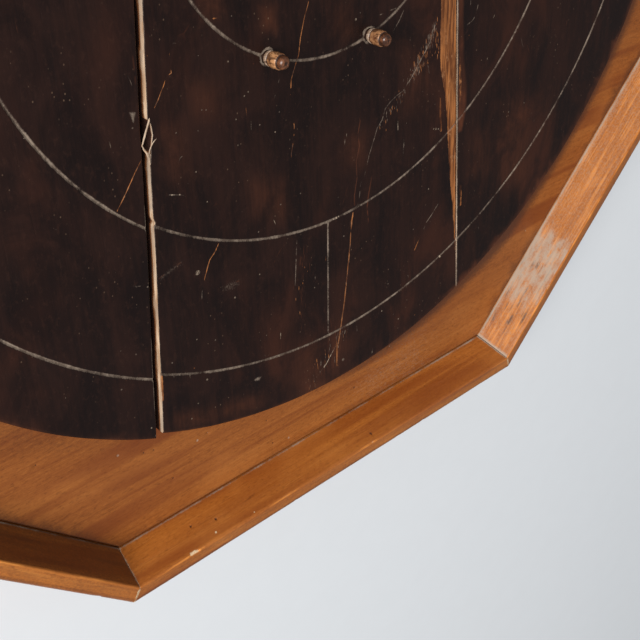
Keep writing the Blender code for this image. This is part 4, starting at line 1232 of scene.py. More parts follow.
# Slivers torn from the centre plank's edge: picture points, half widths, lift.
SPLINTERS = [
    ([(149.6, 118.0), (148.4, 122.5), (146.2, 129.0), (143.9, 137.0), (142.3, 144.0), (142.0, 147.0)],
     (0.35, 0.50, 0.55, 0.55, 0.40, 0.08), (0.1, 0.3, 0.5, 0.6, 0.5, 0.3)),
    ([(141.7, 145.0), (143.6, 149.5), (146.6, 153.5), (149.2, 158.5), (150.6, 165.0)],
     (0.08, 0.45, 0.55, 0.55, 0.25), (0.4, 0.4, 0.4, 0.2, 0.0)),
    ([(156.2, 138.8), (154.2, 141.0), (152.0, 144.0), (149.6, 150.0), (148.6, 156.0)],
     (0.08, 0.30, 0.38, 0.35, 0.20), (0.2, 0.3, 0.4, 0.4, 0.3)),
    ([(150.4, 123.0), (151.7, 129.0), (152.6, 135.5), (151.8, 141.0), (151.0, 146.0)],
     (0.06, 0.22, 0.26, 0.24, 0.10), (0.1, 0.2, 0.25, 0.25, 0.3)),
]


def add_splinter(solid, path, widths, lift):
    """Closed sliver with a ridge, along picture points on the surface."""
    pts = [seen(px, py) for px, py in path]
    n = len(pts)
    t = np.linspace(0, n - 1, (n - 1) * 4 + 1)
    x = np.interp(t, range(n), [p[0] for p in pts]) + 0.07 * noise(t * 2.1, t * 0, 181)
    y = np.interp(t, range(n), [p[1] for p in pts])
    w = np.interp(t, range(n), widths) * (1 + 0.2 * noise(t * 1.7, t * 0 + 4, 183))
    z = DISC_TOP - 0.25 + np.interp(t, range(n), lift)
    line = np.column_stack([x, y])
    d = np.gradient(line, axis=0)
    side = np.column_stack([-d[:, 1], d[:, 0]])
    side /= np.maximum(np.hypot(side[:, 0], side[:, 1])[:, None], 1e-9)
    base = solid.count
    rows = []
    for k in range(len(t)):
        cx, cy = line[k]
        sx, sy = side[k] * w[k]
        rows += [(cx - sx, cy - sy, z[k]), (cx - sx * 0.25, cy - sy * 0.25, z[k] + 0.22),
                 (cx + sx, cy + sy, z[k] + 0.05), (cx + sx * 0.3, cy + sy * 0.3, z[k] - 0.75)]
    solid.points(rows)
    faces = []
    for k in range(len(t) - 1):
        for j in range(4):
            m = (j + 1) % 4
            faces.append((k * 4 + j, (k + 1) * 4 + j, (k + 1) * 4 + m, k * 4 + m))
    last = (len(t) - 1) * 4
    faces.append((0, 1, 2, 3))
    faces.append((last + 3, last + 2, last + 1, last))
    for f in outward(np.asarray(rows), faces):
        solid.face(tuple(base + i for i in f), "seam")


def outward(verts, faces):
    """Faces turned to point out of a closed piece."""
    verts = np.asarray(verts, float)
    total = 0.0
    for f in faces:
        a = verts[f[0]]
        for i in range(1, len(f) - 1):
            total += float(np.dot(a, np.cross(verts[f[i]], verts[f[i + 1]])))
    return [tuple(f[::-1]) for f in faces] if total < 0 else faces


def build_plank(side, seed):
    plank = Plank(side)
    loops = [plank.outline()]
    blind = []
    for k in range(8):
        px, py = peg_xy(k)
        if plank.contains([(px, py)], 6.0)[0]:
            loops.append(ring_points(px, py, PEG_HOLE_R, 24))
            blind.append((px, py, PEG_HOLE_R, [(PEG_HOLE_R, DISC_TOP - 1.5), (PEG_HOLE_R, DISC_TOP - 6.0),
                                               (PEG_HOLE_R, DISC_TOP - PEG_HOLE_DEPTH)]))
    if side == "centre":
        loops.append(ring_points(0.0, 0.0, CENTRE_HOLE_R, 64))
        blind.append((0.0, 0.0, CENTRE_HOLE_R,
                      [(CENTRE_HOLE_R, DISC_TOP - 2.0), (CENTRE_HOLE_R, DISC_TOP - CENTRE_HOLE_DEPTH + 0.6),
                       (CENTRE_HOLE_R - 0.5, DISC_TOP - CENTRE_HOLE_DEPTH + 0.05),
                       (CENTRE_HOLE_R * 0.7, DISC_TOP - CENTRE_HOLE_DEPTH),
                       (CENTRE_HOLE_R * 0.35, DISC_TOP - CENTRE_HOLE_DEPTH - 0.05)]))
    fill = jittered(-320, 320, -325, 325, 5.6, seed)
    fill = fill[plank.contains(fill, 2.6)]
    for h in blind:
        fill = fill[np.hypot(fill[:, 0] - h[0], fill[:, 1] - h[1]) > h[2] + 1.0]

    def top_height(pts):
        return DISC_TOP + top_detail(plank, pts)[0]

    def low_height(pts):
        return np.full(len(pts), DISC_BOTTOM)

    def wall_kind(p):
        p = np.asarray([p])
        return "seam" if plank.seam(p)[0] < 0.30 and plank.rim(p)[0] > 0.35 else "rim"

    def wall_shift(pts, share):
        seam = (plank.seam(pts) < 0.3) & (plank.rim(pts) > 0.3)
        size = 0.10 if side != "right" else 0.05
        amount = size * rough_noise(pts[:, 1] / 3.5, pts[:, 1] * 0 + share * 9.0, 171)
        centre_x = {"left": -250.0, "centre": 0.0, "right": 250.0}[side]
        away = np.sign(centre_x - pts[:, 0])
        out = np.zeros_like(pts)
        out[:, 0] = np.where(seam, away * np.abs(amount), 0.0)
        return out

    fill_low = jittered(-320, 320, -325, 325, 40.0, seed + 1)
    fill_low = fill_low[plank.contains(fill_low, 8.0)]
    levels = [(0.035, 0.0), (0.10, 0.0), (0.18, 0.0), (0.24, 0.0), (0.30, 0.0), (0.40, 0.0), (0.60, 0.0), (0.80, 0.0),
              (0.965, 0.05), (1.0, 0.6)]
    solid, n_top = slab({"loops": loops, "lines": plank_lines(plank), "fill": fill, "height": top_height},
                        {"fill": fill_low, "height": low_height}, levels, blind,
                        wall_kind=wall_kind, wall_shift=wall_shift)
    if side == "centre":
        for path, widths, lift in SPLINTERS:
            add_splinter(solid, path, widths, lift)
    verts = solid.verts()
    _, layers = top_detail(plank, verts[:n_top, :2])
    full = {}
    for key, values in layers.items():
        out = np.zeros(len(verts))
        out[:n_top] = np.clip(values, 0.0, 1.2)
        full[key] = out
    depth = DISC_TOP - verts[:, 2]
    # painted shade: the dark layer darkens the plank walls and bottoms with depth below the top
    full["dark"] = np.zeros(len(verts))
    if side == "centre":
        # painted shadow of the left plank on the centre plank's seam wall, and painted shade in the hollow behind the
        # splinters
        wall_y = verts[n_top:, 1]
        deep = depth[n_top:] * (1.0 + 0.22 * rough_noise(wall_y / 13.0, wall_y * 0, 191)) \
            + 0.25 * noise(wall_y / 2.1, depth[n_top:] / 2.0, 193)
        share = 0.5 * step(deep, 2.9, 3.8) + 0.5 * step(deep, 4.1, 5.1)
        lo, hi = seen(150, 154)[1], seen(150, 120)[1]
        hollow_shade = step(wall_y, lo - 1.0, lo + 1.0) * step(wall_y, hi + 1.0, hi - 1.0)
        full["dark"][n_top:] = np.maximum(share, hollow_shade * step(depth[n_top:], 0.2, 0.9))
    else:
        # painted shade down the walls of the other seams, dark below 3 to 5 mm
        full["dark"][n_top:] = step(depth[n_top:], 3.0, 5.0) * 0.9
    full["grain"] = grain_layer(verts, (0.0, 1.0, 0.0), seed)
    slots = [{"top": 0, "rim": 0, "bottom": 1, "seam": 1, "hole": 0}[k] for k in solid.kind]
    return finish_mesh("playing_" + side, verts, solid.f, [DISC_WOOD, SEAM_WOOD], slots, full,
                       sharp=50.0, node="playing_plank_" + side)


for _side, _seed in (("left", 201), ("centre", 202), ("right", 203)):
    build_plank(_side, _seed)


# -------------------------------------------------------------------- pegs
PEG_PROFILE = [  # radius, height over the playing surface, collar, groove, knob
    (0.0, -12.2, 0, 0, 0), (2.7, -12.2, 0, 0, 0), (3.2, -11.4, 0, 0, 0), (3.2, -0.4, 0, 1, 0),
    (3.2, 0.25, 0, 1, 0), (3.3, 0.65, 0, 1, 0), (3.35, 1.00, 0.1, 1, 0), (3.62, 1.18, 0.6, 0.5, 0),
    (3.86, 1.42, 1, 0.1, 0), (4.02, 1.85, 1, 0, 0), (4.14, 2.35, 1, 0, 0), (4.22, 2.85, 1, 0, 0),
    (4.20, 3.20, 1, 0, 0), (4.05, 3.45, 0.8, 0.3, 0), (3.78, 3.58, 0.3, 1, 0), (3.66, 3.74, 0, 1, 0),
    (3.78, 3.92, 0, 1, 0), (4.08, 4.08, 0, 0.3, 0), (4.24, 4.40, 0, 0, 0), (4.34, 5.00, 0, 0, 0),
    (4.40, 5.80, 0, 0, 0), (4.44, 6.70, 0, 0, 0), (4.46, 7.60, 0, 0, 0), (4.45, 8.50, 0, 0, 0),
    (4.42, 9.30, 0, 0, 0), (4.36, 9.90, 0, 0, 0), (4.24, 10.35, 0, 0, 0), (4.04, 10.60, 0, 0.3, 0),
    (3.58, 10.76, 0, 1, 0.2), (3.38, 10.94, 0, 1, 0.5), (3.40, 11.12, 0, 1, 0.8), (3.58, 11.32, 0, 0.3, 1),
    (3.70, 11.80, 0, 0, 1), (3.66, 12.35, 0, 0, 1), (3.52, 12.95, 0, 0, 1), (3.26, 13.50, 0, 0, 1),
    (2.88, 14.00, 0, 0, 1), (2.36, 14.42, 0, 0, 1), (1.78, 14.72, 0, 0, 1), (1.22, 14.86, 0, 0, 1),
    (0.82, 14.84, 0, 0.2, 1), (0.50, 14.62, 0, 0.8, 1), (0.20, 14.46, 0, 1, 1), (0.0, 14.42, 0, 1, 1)]


def build_peg(index):
    cx, cy = peg_xy(index)
    rng = random.Random(500 + index)
    n = 40
    lean_x, lean_y = rng.uniform(-0.012, 0.012), rng.uniform(-0.012, 0.012)
    verts, rings, layers = [], [], {"collar": [], "groove": [], "knob": []}
    scale = rng.uniform(0.985, 1.015)
    tall = {0: 0.93, 7: 1.02}.get(index, rng.uniform(0.96, 1.02))
    for r, h, collar, groove, knob in PEG_PROFILE:
        count = 1 if r < 1e-6 else n
        start = len(verts)
        for k in range(count):
            a = 2 * math.pi * k / n
            rr = r
            if h > 1.0 and r > 0:
                rr = r * scale + 0.045 * float(noise(math.cos(a) * 1.3 + index * 7, math.sin(a) * 1.3 + h / 3.0, 301)) \
                    + 0.02 * float(noise(a * 3.0, h * 1.6 + index, 303))
            lift = max(h, 0.0)
            verts.append((cx + rr * math.cos(a) + lean_x * lift, cy + rr * math.sin(a) + lean_y * lift,
                          DISC_TOP + (h * tall if h > 0 else h)))
            layers["collar"].append(collar)
            layers["groove"].append(groove)
            layers["knob"].append(knob)
        rings.append((start, count))
    faces = []
    for (s0, c0), (s1, c1) in zip(rings, rings[1:]):
        for k in range(n):
            m = (k + 1) % n
            if c0 == 1:
                faces.append((s0, s1 + m, s1 + k))
            elif c1 == 1:
                faces.append((s0 + k, s0 + m, s1))
            else:
                faces.append((s0 + k, s0 + m, s1 + m, s1 + k))
    v = np.asarray(verts)
    local = (v - np.array((cx, cy, DISC_TOP))) / 1000.0
    grain = np.column_stack([local[:, 2], local[:, 0], local[:, 1]]) + 2.0 + 0.37 * index
    layers["grain"] = grain
    layers["tone"] = np.full(len(v), {0: 0.95, 7: 0.12}.get(index, rng.uniform(0.1, 0.7)))
    finish_mesh("peg_turned_%d" % (index + 1), v, outward(v, faces), [PEG_WOOD], None, layers,
                sharp=70.0, node="peg_%d" % (index + 1))


for _k in range(8):
    build_peg(_k)


# ------------------------------------------------------------------- the rails
RAIL_FOOT, ARRIS_OUT, ARRIS_Z, OUTER_Z, RAIL_ROUND = 21.1, 9.6, 60.4, 59.3, 3.0
MITRE = 0.2 / math.cos(math.radians(22.5))


def rail_section():
    """Offset outward, height and part of the section, all the way round."""
    pts = [(0.0, z, "foot") for z in (BASE_BOTTOM + 0.4, 22.0, 26.0, 30.0, 33.2)]
    lean = math.atan2(ARRIS_OUT, ARRIS_Z - BASE_TOP)
    length = math.hypot(ARRIS_OUT, ARRIS_Z - BASE_TOP)
    rows = [0.02, 0.35, 0.8, 1.3, 2.0] + list(np.linspace(3.0, length - 2.2, 22)) + [length - 1.7, length - 1.25]
    extra = [length * k for k in (0.20, 0.25, 0.53, 0.57)]
    for s in sorted(set(round(v, 3) for v in rows + extra)):
        pts.append((s * math.sin(lean), BASE_TOP + s * math.cos(lean), "inner"))
    r = 0.95
    cx, cz = ARRIS_OUT + r * 0.78, ARRIS_Z - r
    for k in range(6):
        a = (math.pi - 0.0) + (lean * -1.0) - (math.pi / 2 - lean) * k / 5.0
        pts.append((cx + r * math.cos(a), cz + r * math.sin(a), "arris"))
    x0 = cx
    x1 = RAIL_FOOT - RAIL_ROUND
    for k in range(1, 9):
        t = k / 9.0
        pts.append((x0 + (x1 - x0) * t, ARRIS_Z + (OUTER_Z - ARRIS_Z) * t, "band"))
    for k in range(7):
        a = math.radians(90.0 - 15.0 * k)
        pts.append((x1 + RAIL_ROUND * math.cos(a), OUTER_Z - RAIL_ROUND + RAIL_ROUND * math.sin(a), "round"))
    for z in (53.5, 50.5, 47.0, 43.5, 40.0, 36.5, 33.5, 31.0, 29.3, 28.6, 27.9, 27.2, 26.6, 26.0, 25.4,
              24.8, 24.1, 23.4, 22.7, 21.0, 19.6):
        pts.append((RAIL_FOOT, z, "outer"))
    pts += [(RAIL_FOOT - 0.35, BASE_BOTTOM + 0.5, "outer"), (RAIL_FOOT - 1.0, BASE_BOTTOM + 0.05, "under"),
            (15.0, BASE_BOTTOM, "under"), (8.0, BASE_BOTTOM, "under"), (0.4, BASE_BOTTOM, "under")]
    return pts


def on_inner_face(index, px, py):
    """Along and height up the leaning inner face of a picture point."""
    nx, ny = normal_of(index)
    d = ((px - 320) / FOCAL_PX * RIGHT + (py - 320) / FOCAL_PX * DOWN + AXIS)
    eye = EYE * 1000.0
    a = math.atan2(ARRIS_OUT, ARRIS_Z - BASE_TOP)
    n = np.array((nx * math.cos(a), ny * math.cos(a), -math.sin(a)))
    q = np.array((nx * flat_of(index), ny * flat_of(index), BASE_TOP))
    t = np.dot(q - eye, n) / np.dot(d, n)
    p = eye + d * t
    return float(p[0] * -ny + p[1] * nx), float((p[2] - BASE_TOP) / math.cos(a))


def on_band(index, px, py):
    nx, ny = normal_of(index)
    x, y = seen(px, py, ARRIS_Z)
    return x * -ny + y * nx, x * nx + y * ny - flat_of(index)


PIN_HOLES = {0: [on_inner_face(0, *p) for p in ((191, 526.5), (216, 519.3), (371, 433.5))]}
RAIL_SPOTS = {0: [(*on_inner_face(0, 216, 532.4), 0.55), (*on_inner_face(0, 254, 512), 0.35)]}
ARRIS_CHIPS = {0: [(on_band(0, 189.5, 559.6)[0], on_band(0, 201.0, 552.5)[0])]}
RAIL_STREAKS = {0: [((238.7, 507), (262, 487.8), 0.7), ((150, 566), (205, 528), 0.4), ((282, 486), (318, 462), 0.4),
                    ((340, 452), (395, 418), 0.4), ((352, 468), (410, 428), 0.45), ((418, 398), (462, 368), 0.45),
                    ((180, 566), (240, 532), 0.35), ((300, 498), (352, 462), 0.35), ((126, 558), (160, 540), 0.35)],
                1: [((497, 322), (512, 300), 0.5), ((503, 333), (522, 304), 0.4), ((512, 338), (533, 307), 0.5),
                    ((508, 296), (530, 262), 0.4), ((500, 338), (508, 326), 0.4)]}


def build_rail(index):
    name = SIDES[index]
    nx, ny = normal_of(index)
    tx, ty = -ny, nx
    section = rail_section()
    ends = []
    for o, z, part in section:
        a = corner((index - 1) % 8, o)
        b = corner(index, o)
        ends.append((a[0] * tx + a[1] * ty + MITRE, b[0] * tx + b[1] * ty - MITRE))
    u0, u1 = ends[0]
    middle = (u0 + u1) / 2
    length = u1 - u0
    gap = 2.4 if index in (0, 1, 7) else 5.0
    taus = set(np.round(np.linspace(0, 1, int(length / gap)), 5).tolist()) | {0.0, 1.0, 0.0012, 0.9988, 0.004, 0.996}
    places = [middle + d for d in NAIL_ALONG] + [p[0] for p in PIN_HOLES.get(index, [])] \
        + [p[0] for p in RAIL_SPOTS.get(index, [])]
    for u in places:
        for d in (-3.2, -2.5, -1.8, -1.1, -0.6, -0.3, 0.0, 0.3, 0.6, 1.1, 1.8, 2.5, 3.2):
            t = (u + d - u0) / length
            if 0.01 < t < 0.99:
                taus.add(round(float(t), 5))
    for a, b in ARRIS_CHIPS.get(index, []):
        for u in np.linspace(a - 1.0, b + 1.0, 12):
            taus.add(round(float((u - u0) / length), 5))
    taus = sorted(taus)
    rows = len(section)
    sec_o = np.array([p[0] for p in section])
    sec_z = np.array([p[1] for p in section])
    part = np.array([p[2] for p in section])
    before, after = np.roll(np.column_stack([sec_o, sec_z]), 1, 0), np.roll(np.column_stack([sec_o, sec_z]), -1, 0)
    run = after - before
    normal = np.column_stack([-run[:, 1], run[:, 0]])
    normal /= np.maximum(np.hypot(normal[:, 0], normal[:, 1])[:, None], 1e-9)
    lean = math.atan2(ARRIS_OUT, ARRIS_Z - BASE_TOP)
    up = (sec_z - BASE_TOP) / math.cos(lean)
    nails = [middle + d for d in NAIL_ALONG]
    verts, layers = [], {"dust": [], "pale": [], "wear": [], "dark": []}
    tau = np.array(taus)
    e0 = np.array([e[0] for e in ends])
    e1 = np.array([e[1] for e in ends])
    U = e0[None, :] + (e1 - e0)[None, :] * tau[:, None]
    O = np.repeat(sec_o[None, :], len(tau), 0)
    Z = np.repeat(sec_z[None, :], len(tau), 0)
    UP = np.repeat(up[None, :], len(tau), 0)
    near_end = np.minimum(U - e0[None, :], e1[None, :] - U)
    free = step(near_end, 0.0, 9.0)
    push = 0.13 * rough_noise(U / 70.0, np.cumsum(np.hypot(*run.T))[None, :] / 60.0 + index * 5, 401)
    push += 0.03 * rough_noise(U / 14.0, np.arange(rows)[None, :] / 4.0 + index, 403)
    is_foot = (part == "foot") | (part == "under")
    push = push * np.where(is_foot, 0.15, 1.0)[None, :] * free
    dust = np.zeros_like(U)
    pale = np.zeros_like(U)
    wear = np.zeros_like(U)
    dark = np.zeros_like(U)
    inner = (part == "inner")[None, :]
    edge = (part == "arris")[None, :]
    band = (part == "band")[None, :]
    outer = (part == "outer")[None, :]
    rounded = (part == "round")[None, :]
    # worn arris with dents; its wear also paints a bright highlight line along the arris
    dent = step(rough_noise(U / 6.0, U * 0 + index, 411), 0.42, 0.75)
    push += -(0.06 + 0.14 * rough_noise(U / 30.0, U * 0 + index, 413)) * edge * free
    push += -0.32 * dent * edge * free
    wear += (0.30 + 0.40 * rough_noise(U / 18.0, U * 0 + index, 415)) * edge
    pale += 0.40 * dent * edge
    # painted shade: the top band and the outer rounding are darkened
    dark += 0.36 * band + 0.50 * rounded + 0.12 * rough_noise(U / 22.0, O / 2.0, 417) * (band | rounded)
    wear += 0.22 * rounded * step(rough_noise(U / 15.0, Z / 3.0, 419), 0.2, 0.7)
    dent2 = step(rough_noise(U / 5.0, U * 0 + index + 40.0, 421), 0.52, 0.8)
    push += -0.30 * dent2 * rounded * free
    # dust at the foot, where the rail meets the ditch floor, also painted as a grey-blue sheen
    dust += inner * step(UP, 1.7, 0.3) * (0.36 + 0.40 * rough_noise(U / 9.0, U * 0 + index, 423))
    dark += inner * step(UP, 0.7, 0.1) * 0.6
    dust += inner * step(UP, 5.0, 1.0) * 0.20 * (0.6 + 0.5 * rough_noise(U / 30.0, U * 0 + index, 425))
    # painted shade over the whole inner face of the lower left rail
    if index == 7:
        dark += 0.58 * inner
    # nail dimples on the outer face
    for u in nails:
        d = np.hypot(U - u, Z - NAIL_Z)
        push += -0.55 * step(d, 3.1, 1.7) * outer
        dark += 0.75 * step(d, 3.4, 2.1) * outer
    # pin holes: dented and painted dark as shade inside them
    for u, h in PIN_HOLES.get(index, []):
        d = np.hypot((U - u), (UP - h))
        push += -0.9 * step(d, 0.75, 0.25) * inner
        dark += 1.0 * step(d, 1.15, 0.5) * inner
    for u, h, size in RAIL_SPOTS.get(index, []):
        d = np.hypot((U - u), (UP - h) * 0.7)
        pale += 1.0 * step(d, size * 1.7, size * 0.6) * inner
    for a, b in ARRIS_CHIPS.get(index, []):
        reach = 1.0 - ((U - (a + b) / 2) / ((b - a) / 2)) ** 2 + 0.35 * noise(U / 0.9, UP / 0.9, 431)
        amount = step(reach, 0.0, 0.7)
        low_edge = 28.1 - 2.0 * np.clip(reach, 0, 1) ** 0.5
        push += -0.70 * amount * edge
        pale += 0.54 * amount * (edge | (inner & (UP > low_edge)))
    for (p, q, size) in RAIL_STREAKS.get(index, []):
        ua, ha = on_inner_face(index, *p)
        ub, hb = on_inner_face(index, *q)
        t = np.clip((U - ua) / (ub - ua + 1e-6), 0, 1)
        d = np.abs(UP - (ha + (hb - ha) * t) - 0.5 * rough_noise(U / 20.0, U * 0 + ha, 441))
        run_mask = step(U, min(ua, ub) - 4, min(ua, ub) + 10) * step(U, max(ua, ub) + 4, max(ua, ub) - 10)
        dark += 0.55 * size * run_mask * step(d, 1.3, 0.2) * inner
    rng = random.Random(900 + index)
    for _ in range(7):
        h, a = rng.uniform(3, 26), rng.uniform(u0, u1)
        size, half = rng.uniform(0.06, 0.20), rng.uniform(18, 70)
        d = np.abs(UP - h - 1.1 * rough_noise(U / 45.0, U * 0 + h, 443))
        dark += size * step(np.abs(U - a), half, half * 0.3) * step(d, 2.2, 0.5) * inner
    if index == 1:
        # grey worn place on the lower right rail; the whole inner face is also made paler as painted light
        ua, ha = on_inner_face(1, 519, 268)
        d = np.abs(U - ua - 6.0) / 36.0 + 0.10 * (UP / 28.0) + 0.30 * rough_noise(U / 11.0, UP / 5.0, 451)
        dust += (0.34 + 0.44 * rough_noise(U / 5.0, UP / 2.0, 453)) * step(d, 1.05, 0.55) * inner
        dark += 0.85 * step(rough_noise(U / 13.0, UP / 1.5, 455), 0.16, 0.50) * step(np.abs(U - ua + 16), 46, 20) * inner
        # painted light and sheen: wear and dust over the whole inner face
        wear += 0.50 * inner * (0.75 + 0.35 * rough_noise(U / 14.0, UP / 5.0, 457))
        dust += 0.31 * inner
    # pale lines on the mitre edges
    tip = step(near_end, 0.75, 0.15)
    if index in (0, 1):
        far_end = (e1[None, :] - U) if index == 0 else (U - e0[None, :])
        dust += 0.85 * step(far_end, 1.9, 0.5) * inner * (0.8 + 0.3 * rough_noise(UP / 3.0, UP * 0 + index, 463))
        dark += 0.9 * step(far_end, 0.5, 0.1) * inner
    pale += tip * (edge | band | rounded) * (0.55 + 0.45 * noise(O / 2.0, Z / 2.0, 461)) * (0.9 if index in (0, 1, 7) else 0.6)
    dust += tip * inner * (0.45 + 0.35 * noise(UP / 3.0, UP * 0 + index, 465))
    # handled outer face: scuffs
    scuff = step(rough_noise(U / 9.0, Z / 2.2 + index * 3, 471), 0.50, 0.72)
    wear += 0.45 * scuff * outer
    O = O + push * normal[None, :, 0]
    Z = Z + push * normal[None, :, 1]
    flat = flat_of(index)
    X = nx * (flat + O) + tx * U
    Y = ny * (flat + O) + ty * U
    verts = np.column_stack([X.ravel(), Y.ravel(), Z.ravel()])
    faces = []
    for i in range(len(taus) - 1):
        for j in range(rows):
            k = (j + 1) % rows
            faces.append((i * rows + j, (i + 1) * rows + j, (i + 1) * rows + k, i * rows + k))
    faces.append(tuple(range(rows)))
    faces.append(tuple((len(taus) - 1) * rows + j for j in range(rows))[::-1])
    slots = [0] * (len(faces) - 2) + [1, 1]
    fixed = outward(verts, faces)
    full = {"dust": dust.ravel(), "pale": pale.ravel(), "wear": wear.ravel(), "dark": dark.ravel()}
    full = {k: np.clip(v, 0.0, 1.2) for k, v in full.items()}
    full["grain"] = grain_layer(verts, (tx, ty, 0.0), 600 + index)
    finish_mesh("rail_wood_" + name, verts, fixed, [RAIL_WOOD, SEAM_WOOD], slots, full,
                sharp=48.0, node="rail_" + name)


for _k in range(8):
    build_rail(_k)


# ------------------------------------------------------- base boards, battens
def clip(outline, nx, ny, limit):
    kept = []
    for k, (x0, y0) in enumerate(outline):
        x1, y1 = outline[(k + 1) % len(outline)]
        d0 = nx * x0 + ny * y0 - limit
        d1 = nx * x1 + ny * y1 - limit
        if d0 <= 0:
            kept.append((x0, y0))
        if (d0 < 0 < d1) or (d1 < 0 < d0):
            t = d0 / (d0 - d1)
            kept.append((x0 + t * (x1 - x0), y0 + t * (y1 - y0)))
    return kept


def octagon(offset):
    outline = [(-1000.0, -1000.0), (1000.0, -1000.0), (1000.0, 1000.0), (-1000.0, 1000.0)]
    for index in range(8):
        nx, ny = normal_of(index)
        outline = clip(outline, nx, ny, flat_of(index) + offset)
    return outline


def countersink(x, y, z, head_r, shank_r, cone):
    return (x, y, head_r + 0.6, [(head_r + 0.45, z + 0.12), (head_r + 0.40, z + 0.55),
                                 (shank_r + 0.45, z + 0.55 + cone), (shank_r + 0.4, z + 1.4 + cone)])


def plate_outline(clear, steps=14):
    r, half = 8.0 + clear, 20.0 - 8.0
    pts = []
    for sign in (1, -1):
        for k in range(steps + 1):
            a = math.radians(180.0 * k / steps + (0.0 if sign > 0 else 180.0))
            pts.append((r * math.cos(a), PLATE_Y + sign * half + r * math.sin(a)))
    return pts


def plate_seat(solid, ids, pts):
    """Seat of the plate with the pocket for the wall screw's head."""
    floor = BASE_BOTTOM + 2.2
    start = solid.points([(p[0], p[1], floor) for p in pts])
    ring = list(range(start, start + len(pts)))
    solid.strip(ids, ring, "hole")
    x0, x1, y0, y1 = -6.2, 6.2, PLATE_Y - 9.5, PLATE_Y + 11.0
    corners = [(x1 - 1.5, y0), (x1, y0 + 1.5), (x1, y1 - 1.5), (x1 - 1.5, y1),
               (x0 + 1.5, y1), (x0, y1 - 1.5), (x0, y0 + 1.5), (x0 + 1.5, y0)]
    pocket = resample(corners, 3.0, True)
    bv, bf, origin, starts = triangulate([list(map(tuple, pts)), pocket], (), ())
    index = np.full(len(bv), -1)
    for k in range(len(pts)):
        index[origin[starts[0] + k]] = ring[k]
    new = np.where(index < 0)[0]
    base = solid.points([(bv[i][0], bv[i][1], floor) for i in new])
    index[new] = base + np.arange(len(new))
    for f in bf:
        a, b, c = (int(index[i]) for i in f)
        solid.face((a, c, b), "hole")
    for loop in chains(bf[:, ::-1]):
        got = [int(index[i]) for i in loop]
        if got[0] in ring:
            continue
        p = bv[loop]
        solid.sink(got, p, (float(p[:, 0].mean()), float(p[:, 1].mean()), 1.0,
                            [(1.0, floor + 3.0), (1.0, floor + 8.4), (0.97, floor + 8.8)]), "hole")


DITCH_MARKS = [seen(118, 455.6, 34.0), seen(197.5, 440.5, 34.0), seen(288.8, 437.7, 34.0)]


